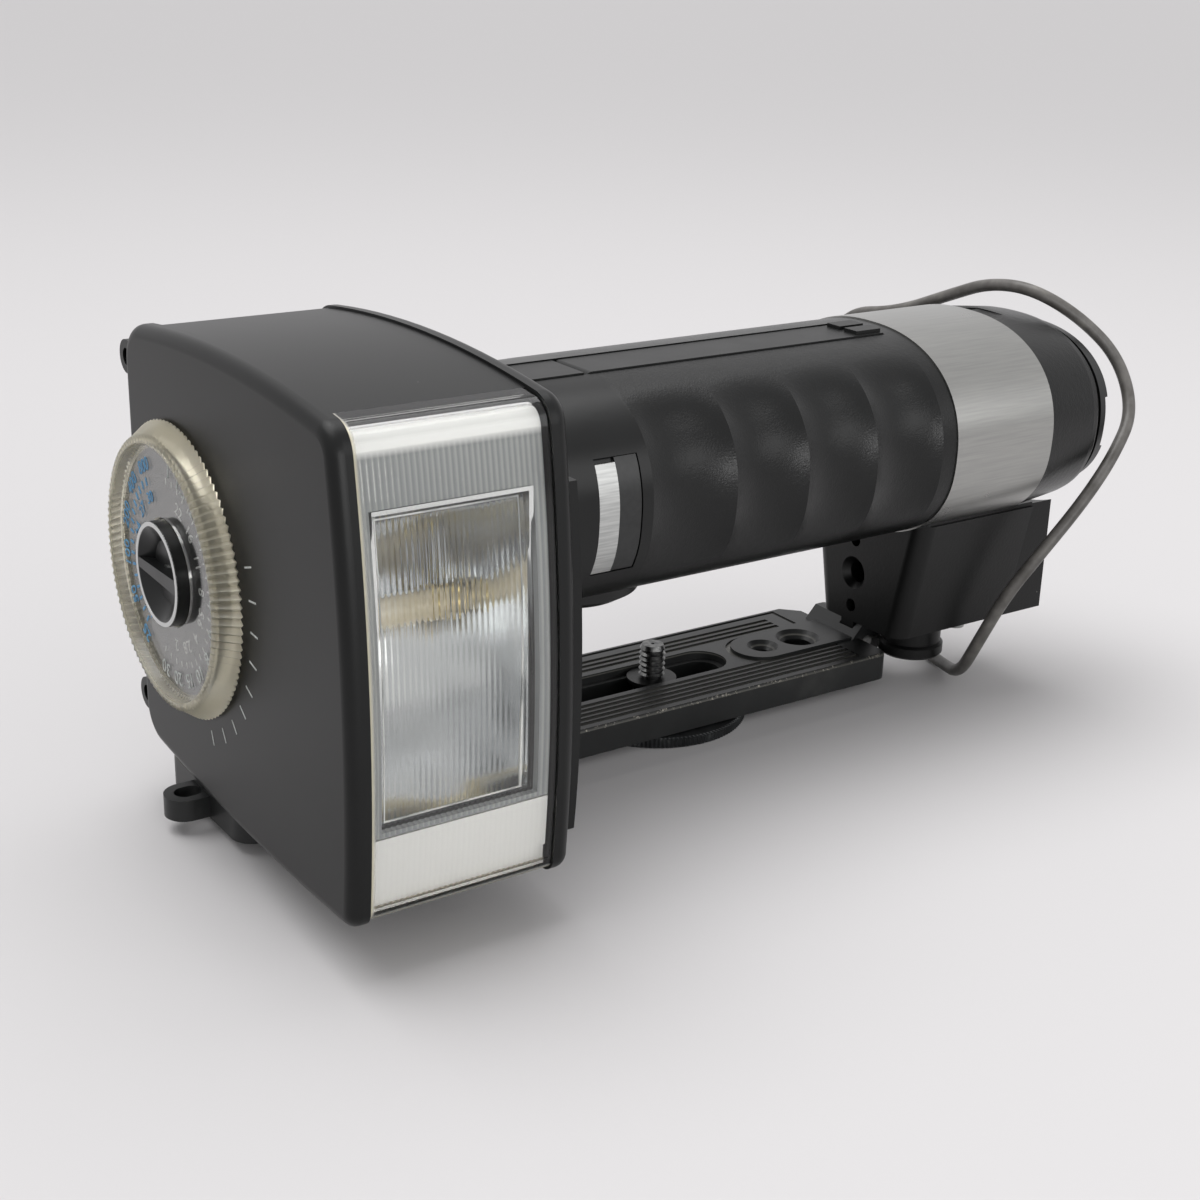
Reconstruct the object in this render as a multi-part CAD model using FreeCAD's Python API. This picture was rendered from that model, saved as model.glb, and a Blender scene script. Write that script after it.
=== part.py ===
import FreeCAD, Part
import math
import os

V = FreeCAD.Vector

# Handle-mount flash lying on its side, with its folding camera bracket under it.
# While it is built, X runs from the dial face along the handle, Y from the lens
# to the back, and Z up from the table. At the end everything moves so that the
# bottom centre of its box is the origin.

# Flash head
head_depth_x = 45.5          # along the handle
head_mid_z = 58.0            # middle of the head above the table
head_half_z = 46.5           # half height at the crown of the barrel
head_corner_z = 43.2         # half height at the top and back corners
head_chin_z = 45.8           # half height at the lower front corner
head_crown_y = -4.0          # where the barrel is tallest
head_front_y = -51.4         # crown of the bulged front
head_edge_y = -46.5          # top front corner
head_chin_y = -50.2          # bottom front corner
head_behind_grip = 3.5       # the back stands this far behind the handle
head_back_round = 8.0
head_brow_round = 6.0
head_chin_round = 3.6
cover_dial_x = 4.0           # thickness of the cover that carries the dial
cover_grip_x = 4.0           # thickness of the cover beside the handle
cover_round = 2.6
cover_seam = 0.5             # the middle housing stands this far inside the covers
window_wall = 3.0            # housing wall beside the reflector
lens_thick = 2.0
lens_wrap_y = -39.0          # the lens wraps over the corners as far back as this
frame_thick = 1.3            # thickness of the panel and diffuser behind the lens
frame_gap = 0.4

# Reflector, tube and diffuser
reflector_half_z = 28.5
reflector_back_y = -13.0
reflector_sheet = 0.8
reflector_front_y = -46.0
tube_radius = 3.0
tube_y = -21.0
tube_cap = 1.2
clip_sheet = 0.5
clip_wide = 1.6
clip_height = 4.0
tab_wide = 1.8
diffuser_base = 6.5          # from the crown bottom of the head to the diffuser

# Calculator dial
dial_y = 18.0
dial_ring_radius = 29.3
dial_ring_front_radius = 26.6
dial_ring_x = 4.6
dial_gap = 0.3
dial_glass = 1.0
dial_scale_radius = 24.0
dial_scale_x = 1.5
dial_knob_radius = 10.3
dial_knob_x = 3.4
dial_knob_wall = 1.2
dial_pointer_wide = 3.0
dial_axle_radius = 1.6
dial_axle_gap = 0.05

# Back of the head
panel_half_z = 26.0
panel_side_dial = 2.0        # from the seams of the covers to the panel
panel_side_grip = 3.5
panel_y = 4.2
track_side = 10.0            # from the panel's sides to the switch track
button_side = 8.0
lamp_side = 10.0
switch_half_z = 6.2
switch_grip_half = 1.6
switch_travel = 2.5
button_radius = 3.4
button_stroke = 1.2
button_gap = 0.3
eyelet_radius = 3.4
eyelet_hole = 1.7
eyelet_thick = 3.0
eyelet_mid_z = 36.0
eyelet_x = 1.5

# Tilt hinge between head and handle
tilt_plate_x = 3.6
tilt_gap = 0.4
tilt_inset = 5.0
tilt_top_z = 27.0            # the plate ends this far above the head's middle
hinge_radius = 3.0
hinge_pin = 1.2
hinge_pin_gap = 0.05
hinge_clear = 0.6
knuckle_gap = 0.3
knuckle_mid = 16.5           # half length of the middle knuckle
knuckle_end = 9.0            # length of each outer knuckle

# Handle
grip_y = 8.5
grip_z = 68.0
grip_half_y = 31.0
grip_half_z = 24.0
grip_power = 2.3             # roundness of the section, 2 is an ellipse
handle_x = head_depth_x + tilt_gap + tilt_plate_x     # where the grip starts
crests_x = tuple(handle_x + x for x in (32.5, 53.5, 72.5, 91.5, 110.5))
groove_depth = 2.1
groove_top = 52.0            # angles of the section where the grooves fade out
groove_low = -36.0
grip_end_x = crests_x[-1] + 4.2
ring_width = 30.0
ring_sheet = 1.2
butt_length = 19.5
butt_taper = 1.5
butt_round = 4.0
end_cap_x = 3.6
end_cap_inset = 3.0
spine_half = 6.0
spine_y = 5.5                # middle of the raised strip
spine_top = 0.9
spine_joint_x = handle_x + 30.0
spine_end_x = grip_end_x - 4.2
spine_gap = 0.3
spine_hinge_radius = 1.6
spine_pin_radius = 0.6
clip_tab = 5.0
battery_deep = 15.0
badge_x0 = handle_x + 19.8
badge_x1 = handle_x + 29.7
badge_split = handle_x + 24.5
badge_half_z = 11.7
badge_top_gap = 0.9          # the silver plate stops below the strip's top
badge_z = 68.0
badge_deep = 0.8
badge_sheet = 0.6
socket_x = handle_x + 32.8
socket_radius = 15.4
socket_front_radius = 12.6
socket_thick = 1.7
socket_slot_deep = 0.8

# Bracket block under the ring
block_x0 = grip_end_x + 0.8
block_x1 = block_x0 + 48.0
block_y0 = -8.0
block_y1 = 19.7
block_z0 = 18.8
block_lean = 0.195           # the cradle leans out this much for each step up
cradle_x1 = block_x0 + 35.5
block_top = 7.5              # height of the cradle beside the handle
block_round = 4.0
block_ledge = 1.1
block_hole_z = (39.3, 31.0, 22.7)
block_hole_small = 1.6
block_hole_large = 2.6
block_hole_sink = 4.0
block_hole_sink_deep = 1.6
block_hole_deep = 9.0
knob_x = block_x0 + 19.0
knob_y = 6.5
knob_radius = 8.0
knob_z0 = 8.0
knob_rim = 3.4
knob_edge = 0.6
knob_neck = 7.3
knob_gap = 0.3
stud_radius = 2.4
stud_gap = 0.05
release_x = block_x0 + 36.0
release_radius = 2.5
release_z0 = 10.5
release_stroke = 2.5
release_deep = 2.1
release_gap = 0.3
cord_socket_z = 58.0

# Camera bar, folded flat alongside the handle
bar_x0 = 4.0
bar_x1 = block_x0 + 10.6
bar_y0 = 4.6
bar_y1 = 42.4
bar_z0 = 2.9
bar_z1 = 9.6
bar_corner = 5.0
bar_near_corner = 3.2
bar_far_corner = 4.4
bar_bevel = 0.6
bar_slot_y = 23.9
bar_slot_x0 = 58.0
bar_slot_x1 = 132.0
bar_slot_half = 4.6
bar_sink_half = 6.2
bar_sink_deep = 2.2
bar_rib_deep = 0.5
bar_rib_wide = 1.4
bar_ribs_y = (7.4, 9.4, 11.4, 13.4, 15.4, 32.6, 34.8, 37.0)
bar_ribs_x1 = bar_x1 - 7.8   # the near ribs run further than the far ones
bar_far_ribs_x1 = bar_x1 - 12.6
bar_border_x = bar_x1 - 7.3
bar_border_y = 40.6
bar_border_deep = 0.9
bar_border_half = 0.5
bar_border_turn = 9.5
pad_x0 = bar_x1 - 26.6
pad_y = 22.8
pad_half = 7.0
pad_rise = 0.6
moat_wide = 1.2
moat_deep = 0.5
moat_long = 9.0
pad_small_x = pad_x0 + 1.2
pad_small = 2.0
pad_large_x = pad_x0 + 12.3
pad_large = 3.6
pad_sink = 1.9
fold_x = block_x0 + 12.6
fold_z = 8.5
fold_radius = 4.5            # eyes of the bar
fold_lug_half = 2.9
fold_pin = 1.5
fold_pin_gap = 0.05
fold_gap = 0.3
fold_lug_y0 = 17.6
fold_lug_y1 = 22.0
fold_near = 2.2
fold_far = 10.7
ramp_x0 = bar_x1 - 3.1
ramp_long = 3.1
ramp_seat_deep = 0.8         # depth to which the ramp is let into the bar
lug_x = 8.0
lug_half = 4.4
lug_wall = 2.1
lug_eye_long = 1.2
lug_z0 = 3.5
lug_z = 4.6

# Camera screw in the slot
screw_x = 117.4
wheel_radius = 22.5
wheel_z0 = 0.0
wheel_z1 = 2.6
wheel_knurls = 60
wheel_knurl_depth = 0.6
coin_half = 9.0
coin_wide = 1.8
coin_deep = 1.1
screw_radius = 3.175
screw_top = 17.0
screw_tip = 0.6
screw_neck = 2.3             # the stud is thinner inside its bush
screw_neck_gap = 0.05
screw_neck_top = 9.2
bush_gap = 0.3
bush_flange = 1.0

# Sync cord
cord_radius = 1.5
cord_socket_x = 203.0
gland_radius = 3.2
gland_long = 6.0
plug_radius = 3.2
plug_long = 15.0
plug_tip_radius = 1.8
plug_tip_long = 6.0

head_back_y = grip_y + grip_half_y + head_behind_grip


def box(x0, x1, y0, y1, z0, z1):
    return Part.makeBox(x1 - x0, y1 - y0, z1 - z0, V(x0, y0, z0))


def rod(radius, start, axis, length):
    return Part.makeCylinder(radius, length, V(*start), V(*axis))


def cone(r0, r1, start, axis, length):
    return Part.makeCone(r0, r1, length, V(*start), V(*axis))


def oblong(x0, x1, y, half, z0, z1):
    """Slot shape along X with round ends whose centres are at x0 and x1."""
    body = box(x0, x1, y - half, y + half, z0, z1)
    ends = [rod(half, (x, y, z0), (0, 0, 1), z1 - z0) for x in (x0, x1)]
    return body.fuse(ends).removeSplitter()


def fillet_along(shape, axis, radius, test=lambda e: True):
    """Rounds the straight edges that run along one axis."""
    found = []
    for edge in shape.Edges:
        if not isinstance(edge.Curve, Part.Line):
            continue
        if abs(abs(edge.Curve.Direction.dot(V(*axis))) - 1) < 1e-6 and test(edge):
            found.append(edge)
    return shape.makeFillet(radius, found)


def knurled(shape, centre, axis, radius, depth, count, length):
    """Cuts a ring of V-shaped notches along a round edge."""
    half = math.pi * radius / count * 0.45
    notch_cut = []
    turn = FreeCAD.Rotation(V(0, 0, 1), V(*axis))
    for k in range(count):
        angle = 2 * math.pi * k / count
        out = V(math.cos(angle), math.sin(angle), 0)
        side = V(-math.sin(angle), math.cos(angle), 0)
        corners = [out * (radius - depth), out * (radius + 1) + side * half * 2,
                   out * (radius + 1) - side * half * 2]
        corners = [turn.multVec(c) + V(*centre) for c in corners]
        face = Part.Face(Part.makePolygon(corners + corners[:1]))
        notch_cut.append(face.extrude(V(*axis) * length))
    return shape.cut(notch_cut)


# Flash head

def head_form(inset, x0, x1):
    """Barrel-shaped slab of the head, smaller all round by the inset."""
    back = head_back_y - inset
    edge = head_edge_y + inset
    chin_y = head_chin_y + inset
    corner = head_corner_z - inset
    chin = head_chin_z - inset
    crown = head_half_z - inset
    front = head_front_y + inset

    def at(y, z):
        return V(x0, y, head_mid_z + z)

    top = Part.Arc(at(back, corner), at(head_crown_y, crown), at(edge, corner))
    nose = Part.Arc(at(edge, corner), at(front, -1.5), at(chin_y, -chin))
    bottom = Part.Arc(at(chin_y, -chin), at(head_crown_y, -crown), at(back, -corner))
    rear = Part.LineSegment(at(back, -corner), at(back, corner))
    wire = Part.Wire([c.toShape() for c in (top, nose, bottom, rear)])
    slab = Part.Face(wire).extrude(V(x1 - x0, 0, 0))
    slab = fillet_along(slab, (1, 0, 0), head_back_round - inset,
                        lambda e: e.CenterOfMass.y > 0)
    slab = fillet_along(slab, (1, 0, 0), max(0.5, head_chin_round - inset),
                        lambda e: e.CenterOfMass.y < 0 and e.CenterOfMass.z < head_mid_z)
    return fillet_along(slab, (1, 0, 0), head_brow_round - inset,
                        lambda e: e.CenterOfMass.y < 0 and e.CenterOfMass.z > head_mid_z)


def behind(shape, y):
    return shape.common(box(-50, 300, y, 200, -50, 200))


def before(shape, y):
    return shape.common(box(-50, 300, -200, y, -50, 200))


def edges_at_x(shape, x):
    return [e for e in shape.Edges
            if abs(e.BoundBox.XMin - x) < 1e-4 and abs(e.BoundBox.XMax - x) < 1e-4]


def dial_cover():
    cover = head_form(0, 0, cover_dial_x)
    cover = cover.makeFillet(cover_round, edges_at_x(cover, 0))
    bore = rod(dial_axle_radius, (0, dial_y, head_mid_z), (1, 0, 0), cover_dial_x)
    return cover.cut(bore)


housing_x0 = cover_dial_x
housing_x1 = head_depth_x - cover_grip_x


def head_housing():
    body = behind(head_form(cover_seam, housing_x0, housing_x1), lens_wrap_y)
    cavity = before(head_form(cover_seam + lens_thick, housing_x0 + window_wall,
                              housing_x1 - window_wall), reflector_back_y + 4)
    return body.cut(cavity)


def grip_cover():
    cover = head_form(0, housing_x1, head_depth_x)
    cover = cover.makeFillet(cover_round, edges_at_x(cover, head_depth_x))
    arm = box(housing_x1, hinge_x, head_back_y, hinge_y + 1.0,
              head_mid_z - knuckle_mid, head_mid_z + knuckle_mid)
    barrel = rod(hinge_radius, (hinge_x, hinge_y, head_mid_z - knuckle_mid),
                 (0, 0, 1), 2 * knuckle_mid)
    bore = rod(hinge_pin + hinge_pin_gap, (hinge_x, hinge_y, head_mid_z - knuckle_mid),
               (0, 0, 1), 2 * knuckle_mid)
    return cover.fuse([arm, barrel]).cut(bore).removeSplitter()


def lens():
    outer = head_form(cover_seam, housing_x0, housing_x1)
    inner = head_form(cover_seam + lens_thick, housing_x0, housing_x1)
    return before(outer.cut(inner), lens_wrap_y)


panel_inset = cover_seam + lens_thick + frame_gap
panel_side = 0.6
reflector_x0 = housing_x0 + window_wall
reflector_x1 = housing_x1 - window_wall


def behind_lens(z0, z1):
    """Curved sheet that follows the inside of the lens between two heights."""
    x0 = housing_x0 + panel_side
    x1 = housing_x1 - panel_side
    outer = head_form(panel_inset, x0, x1)
    inner = head_form(panel_inset + frame_thick, x0, x1)
    sheet = before(outer.cut(inner), lens_wrap_y)
    return sheet.common(box(-50, 300, -200, 200, head_mid_z + z0, head_mid_z + z1))


def window_frame():
    sheet = behind_lens(-reflector_half_z - 1.0, head_corner_z - 2.0)
    window = box(reflector_x0, reflector_x1, -200, 0,
                 head_mid_z - reflector_half_z, head_mid_z + reflector_half_z)
    return sheet.cut(window)


def lower_diffuser():
    return behind_lens(-head_half_z + diffuser_base, -reflector_half_z - 1.3)


def trough(half, back, x0, x1):
    front = reflector_front_y

    def at(y, z):
        return V(x0, y, head_mid_z + z)

    knee = (front + back) / 2 - 4
    upper = Part.Arc(at(front, half), at(knee, half * 0.86), at(back, 0))
    lower = Part.Arc(at(back, 0), at(knee, -half * 0.86), at(front, -half))
    mouth = Part.LineSegment(at(front, -half), at(front, half))
    wire = Part.Wire([c.toShape() for c in (upper, lower, mouth)])
    return Part.Face(wire).extrude(V(x1 - x0, 0, 0))


def reflector():
    outer = trough(reflector_half_z, reflector_back_y,
                   reflector_x0 + 0.2, reflector_x1 - 0.2)
    inner = trough(reflector_half_z - reflector_sheet, reflector_back_y - reflector_sheet,
                   reflector_x0 + 0.2 + reflector_sheet, reflector_x1 - 0.2 - reflector_sheet)
    open_front = before(inner, reflector_front_y + 0.1)
    return outer.cut([inner, open_front])


tube_x0 = reflector_x0 + reflector_sheet + 0.6
tube_x1 = reflector_x1 - reflector_sheet - 0.6


def flash_tube():
    glass = rod(tube_radius, (tube_x0 + tube_cap, tube_y, head_mid_z), (1, 0, 0),
                tube_x1 - tube_x0 - 2 * tube_cap)
    caps = [rod(tube_radius - 0.6, (x, tube_y, head_mid_z), (1, 0, 0), tube_cap)
            for x in (tube_x0, tube_x1 - tube_cap)]
    return glass.fuse(caps).removeSplitter()


def tube_clips():
    """Two sheet-metal saddles that carry the ends of the tube."""
    clips = []
    for x in (tube_x0 + tube_cap + 0.8, tube_x1 - tube_cap - 0.8 - clip_wide):
        loop = rod(tube_radius + clip_sheet, (x, tube_y, head_mid_z), (1, 0, 0), clip_wide)
        foot = box(x, x + clip_wide, tube_y, reflector_back_y - reflector_sheet - 0.6,
                   head_mid_z - 0.9, head_mid_z + 0.9)
        hole = rod(tube_radius, (x, tube_y, head_mid_z), (1, 0, 0), clip_wide)
        clips.append(loop.fuse(foot).cut(hole))
    return Part.makeCompound(clips)


def contact_tabs():
    """Three brass tabs in the clear strip at the handle side of the lens."""
    tabs = []
    for z in (-reflector_half_z + 3, 0, reflector_half_z - 1):
        outer = head_form(panel_inset + frame_thick + 0.1, housing_x1 - tab_wide - panel_side,
                          housing_x1 - panel_side)
        inner = head_form(panel_inset + frame_thick + 0.5, housing_x1 - tab_wide - panel_side,
                          housing_x1 - panel_side)
        band = box(0, 60, -200, lens_wrap_y, head_mid_z + z - clip_height / 2,
                   head_mid_z + z + clip_height / 2)
        tabs.append(outer.cut(inner).common(band))
    return Part.makeCompound(tabs)


# Calculator dial on the outer cover

def dial_scale():
    disc = rod(dial_scale_radius, (-dial_scale_x, dial_y, head_mid_z), (1, 0, 0),
               dial_scale_x)
    bore = rod(dial_axle_radius, (-dial_scale_x, dial_y, head_mid_z), (1, 0, 0),
               dial_scale_x)
    return disc.cut(bore)


def dial_ring():
    """Clear ring with a window disc over the scale."""
    x0 = -dial_gap - dial_ring_x
    rim = cone(dial_ring_front_radius, dial_ring_radius, (x0, dial_y, head_mid_z),
               (1, 0, 0), dial_ring_x)
    well = rod(dial_scale_radius + dial_gap,
               (-dial_scale_x - dial_gap, dial_y, head_mid_z), (1, 0, 0), 10)
    dish = cone(dial_ring_front_radius - 1.6, dial_scale_radius,
                (x0, dial_y, head_mid_z), (1, 0, 0),
                dial_ring_x + dial_gap - dial_scale_x - dial_gap - dial_glass)
    eye = rod(dial_knob_radius + dial_gap, (x0, dial_y, head_mid_z), (1, 0, 0), 10)
    return rim.cut([well, dish, eye])


def dial_knob():
    """Dished centre knob with a finger ridge that points at the scale."""
    x1 = -dial_scale_x - dial_gap
    knob = rod(dial_knob_radius, (x1 - dial_knob_x, dial_y, head_mid_z), (1, 0, 0),
               dial_knob_x)
    hollow = cone(dial_knob_radius - dial_knob_wall, dial_knob_radius - 4,
                  (x1 - dial_knob_x, dial_y, head_mid_z), (1, 0, 0), dial_knob_x - 1.0)
    ridge = Part.makePolygon([
        V(x1, dial_y - dial_knob_radius + 1, head_mid_z - dial_pointer_wide / 2),
        V(x1, dial_y + dial_knob_radius - 1, head_mid_z - dial_pointer_wide / 3),
        V(x1, dial_y + dial_knob_radius - 1, head_mid_z + dial_pointer_wide / 3),
        V(x1, dial_y - dial_knob_radius + 1, head_mid_z + dial_pointer_wide / 2),
        V(x1, dial_y - dial_knob_radius + 1, head_mid_z - dial_pointer_wide / 2)])
    ridge = Part.Face(ridge).extrude(V(-dial_knob_x, 0, 0))
    bore = rod(dial_axle_radius + dial_axle_gap, (x1 - 1.6, dial_y, head_mid_z),
               (1, 0, 0), 1.6)
    return knob.cut(hollow).fuse(ridge).removeSplitter().cut(bore)


def dial_axle():
    return rod(dial_axle_radius, (-dial_scale_x - dial_gap - 1.4, dial_y, head_mid_z),
               (1, 0, 0), dial_scale_x + dial_gap + 1.4 + cover_dial_x - 0.2)


# Back of the head

def strap_eyelets():
    rings = []
    solid_head = head_form(0, -5, head_depth_x)
    for z in (head_mid_z - eyelet_mid_z, head_mid_z + eyelet_mid_z):
        centre = (eyelet_x, head_back_y + eyelet_radius - 1.2, z)
        ring = rod(eyelet_radius, centre, (1, 0, 0), eyelet_thick)
        root = box(eyelet_x, eyelet_x + eyelet_thick, head_back_y - 6,
                   centre[1], z - eyelet_radius, z + eyelet_radius)
        bore = rod(eyelet_hole, centre, (1, 0, 0), eyelet_thick)
        rings.append(ring.fuse(root).cut(solid_head).cut(bore))
    return Part.makeCompound(rings)


panel_back = head_back_y - cover_seam
panel_front_y = panel_back + panel_y
panel_x0 = cover_dial_x + panel_side_dial
panel_x1 = head_depth_x - cover_grip_x - panel_side_grip
button_x = panel_x0 + button_side
lamp_x = panel_x1 - lamp_side
button_z = head_mid_z + 12
switch_z = head_mid_z - 10


def back_panel():
    plate = box(panel_x0, panel_x1, panel_back, panel_front_y,
                head_mid_z - panel_half_z, head_mid_z + panel_half_z)
    plate = fillet_along(plate, (0, 1, 0), 3.0)
    well = rod(button_radius + button_gap, (button_x, panel_back + 1.0, button_z),
               (0, 1, 0), panel_y)
    lamp = rod(button_radius, (lamp_x, panel_front_y - 1.5, button_z), (0, 1, 0), 2)
    track = box(panel_x0 + track_side, panel_x1 - track_side, panel_front_y - 1.6,
                panel_front_y + 1, switch_z - switch_half_z - button_gap,
                switch_z + switch_half_z + button_gap)
    return plate.cut([well, lamp, track])


def ready_lamp():
    return rod(button_radius, (lamp_x, panel_front_y - 1.5, button_z), (0, 1, 0), 2.2)


def test_button():
    start = panel_back + 1.0 + button_stroke + 0.3
    return rod(button_radius, (button_x, start, button_z), (0, 1, 0),
               panel_front_y + 1.5 - start)


def power_switch():
    side = track_side + button_gap
    slide = box(panel_x0 + side, panel_x1 - side, panel_front_y - 1.3,
                panel_front_y + 0.4, switch_z - switch_half_z + switch_travel,
                switch_z + switch_half_z - switch_travel)
    grip = box(panel_x0 + side + switch_grip_half, panel_x1 - side - switch_grip_half,
               panel_front_y - 1.0, panel_front_y + 1.8, switch_z - switch_grip_half,
               switch_z + switch_grip_half)
    return slide.fuse(grip)


# Tilt hinge

hinge_x = head_depth_x + tilt_gap + tilt_plate_x / 2 + 0.5
hinge_y = head_back_y + 2.4


def tilt_plate():
    x0 = head_depth_x + tilt_gap
    x1 = x0 + tilt_plate_x
    plate = head_form(tilt_inset, x0, x1)
    plate = plate.common(box(-50, 300, -200, 200, -50, head_mid_z + tilt_top_z))
    low = head_mid_z - knuckle_mid - knuckle_gap - knuckle_end
    high = head_mid_z + knuckle_mid + knuckle_gap
    strip = box(x0, x1, grip_y, hinge_y - hinge_radius - hinge_clear, low,
                high + knuckle_end)
    collar = grip_section_solid(0, x0, x1)
    lugs = []
    for z in (low, high):
        arm = box(x0, hinge_x, hinge_y - hinge_radius - hinge_clear - 1, hinge_y, z,
                  z + knuckle_end)
        barrel = rod(hinge_radius, (hinge_x, hinge_y, z), (0, 0, 1), knuckle_end)
        lugs += [arm, barrel]
    bore = rod(hinge_pin, (hinge_x, hinge_y, -50), (0, 0, 1), 250)
    return plate.fuse([strip, collar] + lugs).removeSplitter().cut(bore)


def tilt_pin():
    length = 2 * (knuckle_mid + knuckle_gap + knuckle_end)
    return rod(hinge_pin, (hinge_x, hinge_y, head_mid_z - length / 2), (0, 0, 1), length)


# Handle

def section_wire(x, half_y, half_z, groove=0.0, count=32):
    """Closed rounded section; a groove draws in only the finger side of it."""
    middle = (groove_top + groove_low) / 2
    reach = (groove_top - groove_low) / 2
    points = []
    for k in range(count):
        angle = 2 * math.pi * k / count
        c = math.cos(angle)
        s = math.sin(angle)
        y = -half_y * math.copysign(abs(c) ** (2 / grip_power), c)
        z = half_z * math.copysign(abs(s) ** (2 / grip_power), s)
        off = (math.degrees(angle) - middle + 180) % 360 - 180
        share = min(1.0, 1.5 * max(0.0, 1 - (off / reach) ** 2))
        pull = groove * share / math.hypot(y, z)
        points.append(V(x, grip_y + y * (1 - pull), grip_z + z * (1 - pull)))
    curve = Part.BSplineCurve()
    curve.interpolate(Points=points, PeriodicFlag=True)
    return Part.Wire([curve.toShape()])


def grip_section_solid(shrink, x0, x1, end_shrink=None):
    end = shrink if end_shrink is None else end_shrink
    first = section_wire(x0, grip_half_y - shrink, grip_half_z - shrink)
    last = section_wire(x1, grip_half_y - end, grip_half_z - end)
    return Part.makeLoft([first, last], True, True)


def finger_groove(x0, x1):
    wires = []
    for share in (0.0, 0.15, 0.5, 0.85, 1.0):
        depth = groove_depth * math.sin(math.pi * share) ** 0.8 if 0 < share < 1 else 0.0
        wires.append(section_wire(x0 + share * (x1 - x0), grip_half_y, grip_half_z, depth))
    return Part.makeLoft(wires, True, False)


spine_z = grip_z + grip_half_z + spine_top - 1.2
pocket_x0 = spine_joint_x + 4.0
pocket_x1 = spine_end_x - 4.0
spine_hinge_x = spine_joint_x + spine_gap + spine_hinge_radius
spine_hinge_z = spine_z - spine_hinge_radius


def spine_channel():
    """Straight channel in the top of the handle that takes the raised strip."""
    return box(handle_x - 1, spine_end_x + spine_gap, spine_y - spine_half - spine_gap,
               spine_y + spine_half + spine_gap, spine_z - 3.6, spine_z + 5)


def grip_body():
    pieces = [grip_section_solid(0, handle_x, crests_x[0])]
    for a, b in zip(crests_x[:-1], crests_x[1:]):
        pieces.append(finger_groove(a, b))
    pieces.append(grip_section_solid(0, crests_x[-1], grip_end_x))
    pieces.append(grip_section_solid(ring_sheet + 0.2, grip_end_x, grip_end_x + ring_width + 2))
    body = pieces[0].fuse(pieces[1:])
    pocket = box(pocket_x0, pocket_x1, spine_y - spine_half + 1, spine_y + spine_half - 1,
                 spine_z - 3.6 - battery_deep, spine_z)
    badge = badge_band(badge_x0 - 0.2, badge_x1 + 0.2, badge_half_z + 0.2, badge_deep, 3.0)
    bore = rod(spine_pin_radius, (spine_hinge_x, spine_y - spine_half - 3, spine_hinge_z),
               (0, 1, 0), 2 * spine_half + 6)
    return body.cut([spine_channel(), pocket, badge, bore])


def badge_band(x0, x1, half_z, deep, over):
    """Part of a sheet that follows the front of the handle."""
    outer = grip_section_solid(-over, x0, x1)
    inner = grip_section_solid(deep, x0, x1)
    sheet = outer.cut(inner)
    return sheet.common(box(x0, x1, -100, grip_y, badge_z - half_z, badge_z + half_z))


def badge_plate():
    sheet = badge_band(badge_x0, badge_split, badge_half_z, badge_deep,
                       badge_sheet - badge_deep)
    top = badge_z + badge_half_z - badge_top_gap
    return sheet.common(box(badge_x0, badge_split, -100, 100, 0, top))


def badge_strip():
    return badge_band(badge_split, badge_x1, badge_half_z, badge_deep, badge_sheet - badge_deep)


def spine_front():
    return box(handle_x, spine_joint_x, spine_y - spine_half,
               spine_y + spine_half, spine_z - 3.6, spine_z)


def battery_cover():
    """Long lid on the top of the handle, hinged at its head end."""
    x0 = spine_joint_x + spine_gap
    lid = box(spine_hinge_x, spine_end_x, spine_y - spine_half, spine_y + spine_half,
              spine_z - 2.4, spine_z)
    knuckle = rod(spine_hinge_radius, (spine_hinge_x, spine_y - spine_half, spine_hinge_z),
                  (0, 1, 0), 2 * spine_half)
    bore = rod(spine_pin_radius + 0.05, (spine_hinge_x, spine_y - spine_half - 1, spine_hinge_z),
               (0, 1, 0), 2 * spine_half + 2)
    tabs = []
    for y in (spine_y - spine_half + 1.0, spine_y + 0.8):
        tab = box(spine_end_x - clip_tab - 2, spine_end_x, y, y + clip_tab - 0.8,
                  spine_z, spine_z + 0.8)
        tabs.append(tab)
    return lid.fuse([knuckle] + tabs).removeSplitter().cut(bore)


def battery_cover_pin():
    return rod(spine_pin_radius, (spine_hinge_x, spine_y - spine_half - 3, spine_hinge_z),
               (0, 1, 0), 2 * spine_half + 6)


def battery_pack():
    """Row of cells in the pocket under the lid."""
    cell = (pocket_x1 - pocket_x0 - 1.0) / 2
    cells = []
    radius = (2 * spine_half - 2.6) / 2
    z = spine_z - 3.6 - battery_deep + radius + 0.02
    for k in range(2):
        x = pocket_x0 + 0.3 + k * (cell + 0.4)
        cells.append(rod(radius, (x, spine_y, z), (1, 0, 0), cell - 1.2))
        cells.append(rod(radius * 0.35, (x + cell - 1.2, spine_y, z), (1, 0, 0), 1.2))
    return cells[0].fuse(cells[1:])


ring_x1 = grip_end_x + ring_width


def ring_band():
    outer = grip_section_solid(-0.3, grip_end_x, ring_x1)
    inner = grip_section_solid(ring_sheet + 0.2, grip_end_x, ring_x1)
    return outer.cut(inner)


butt_x1 = ring_x1 + butt_length


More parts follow.
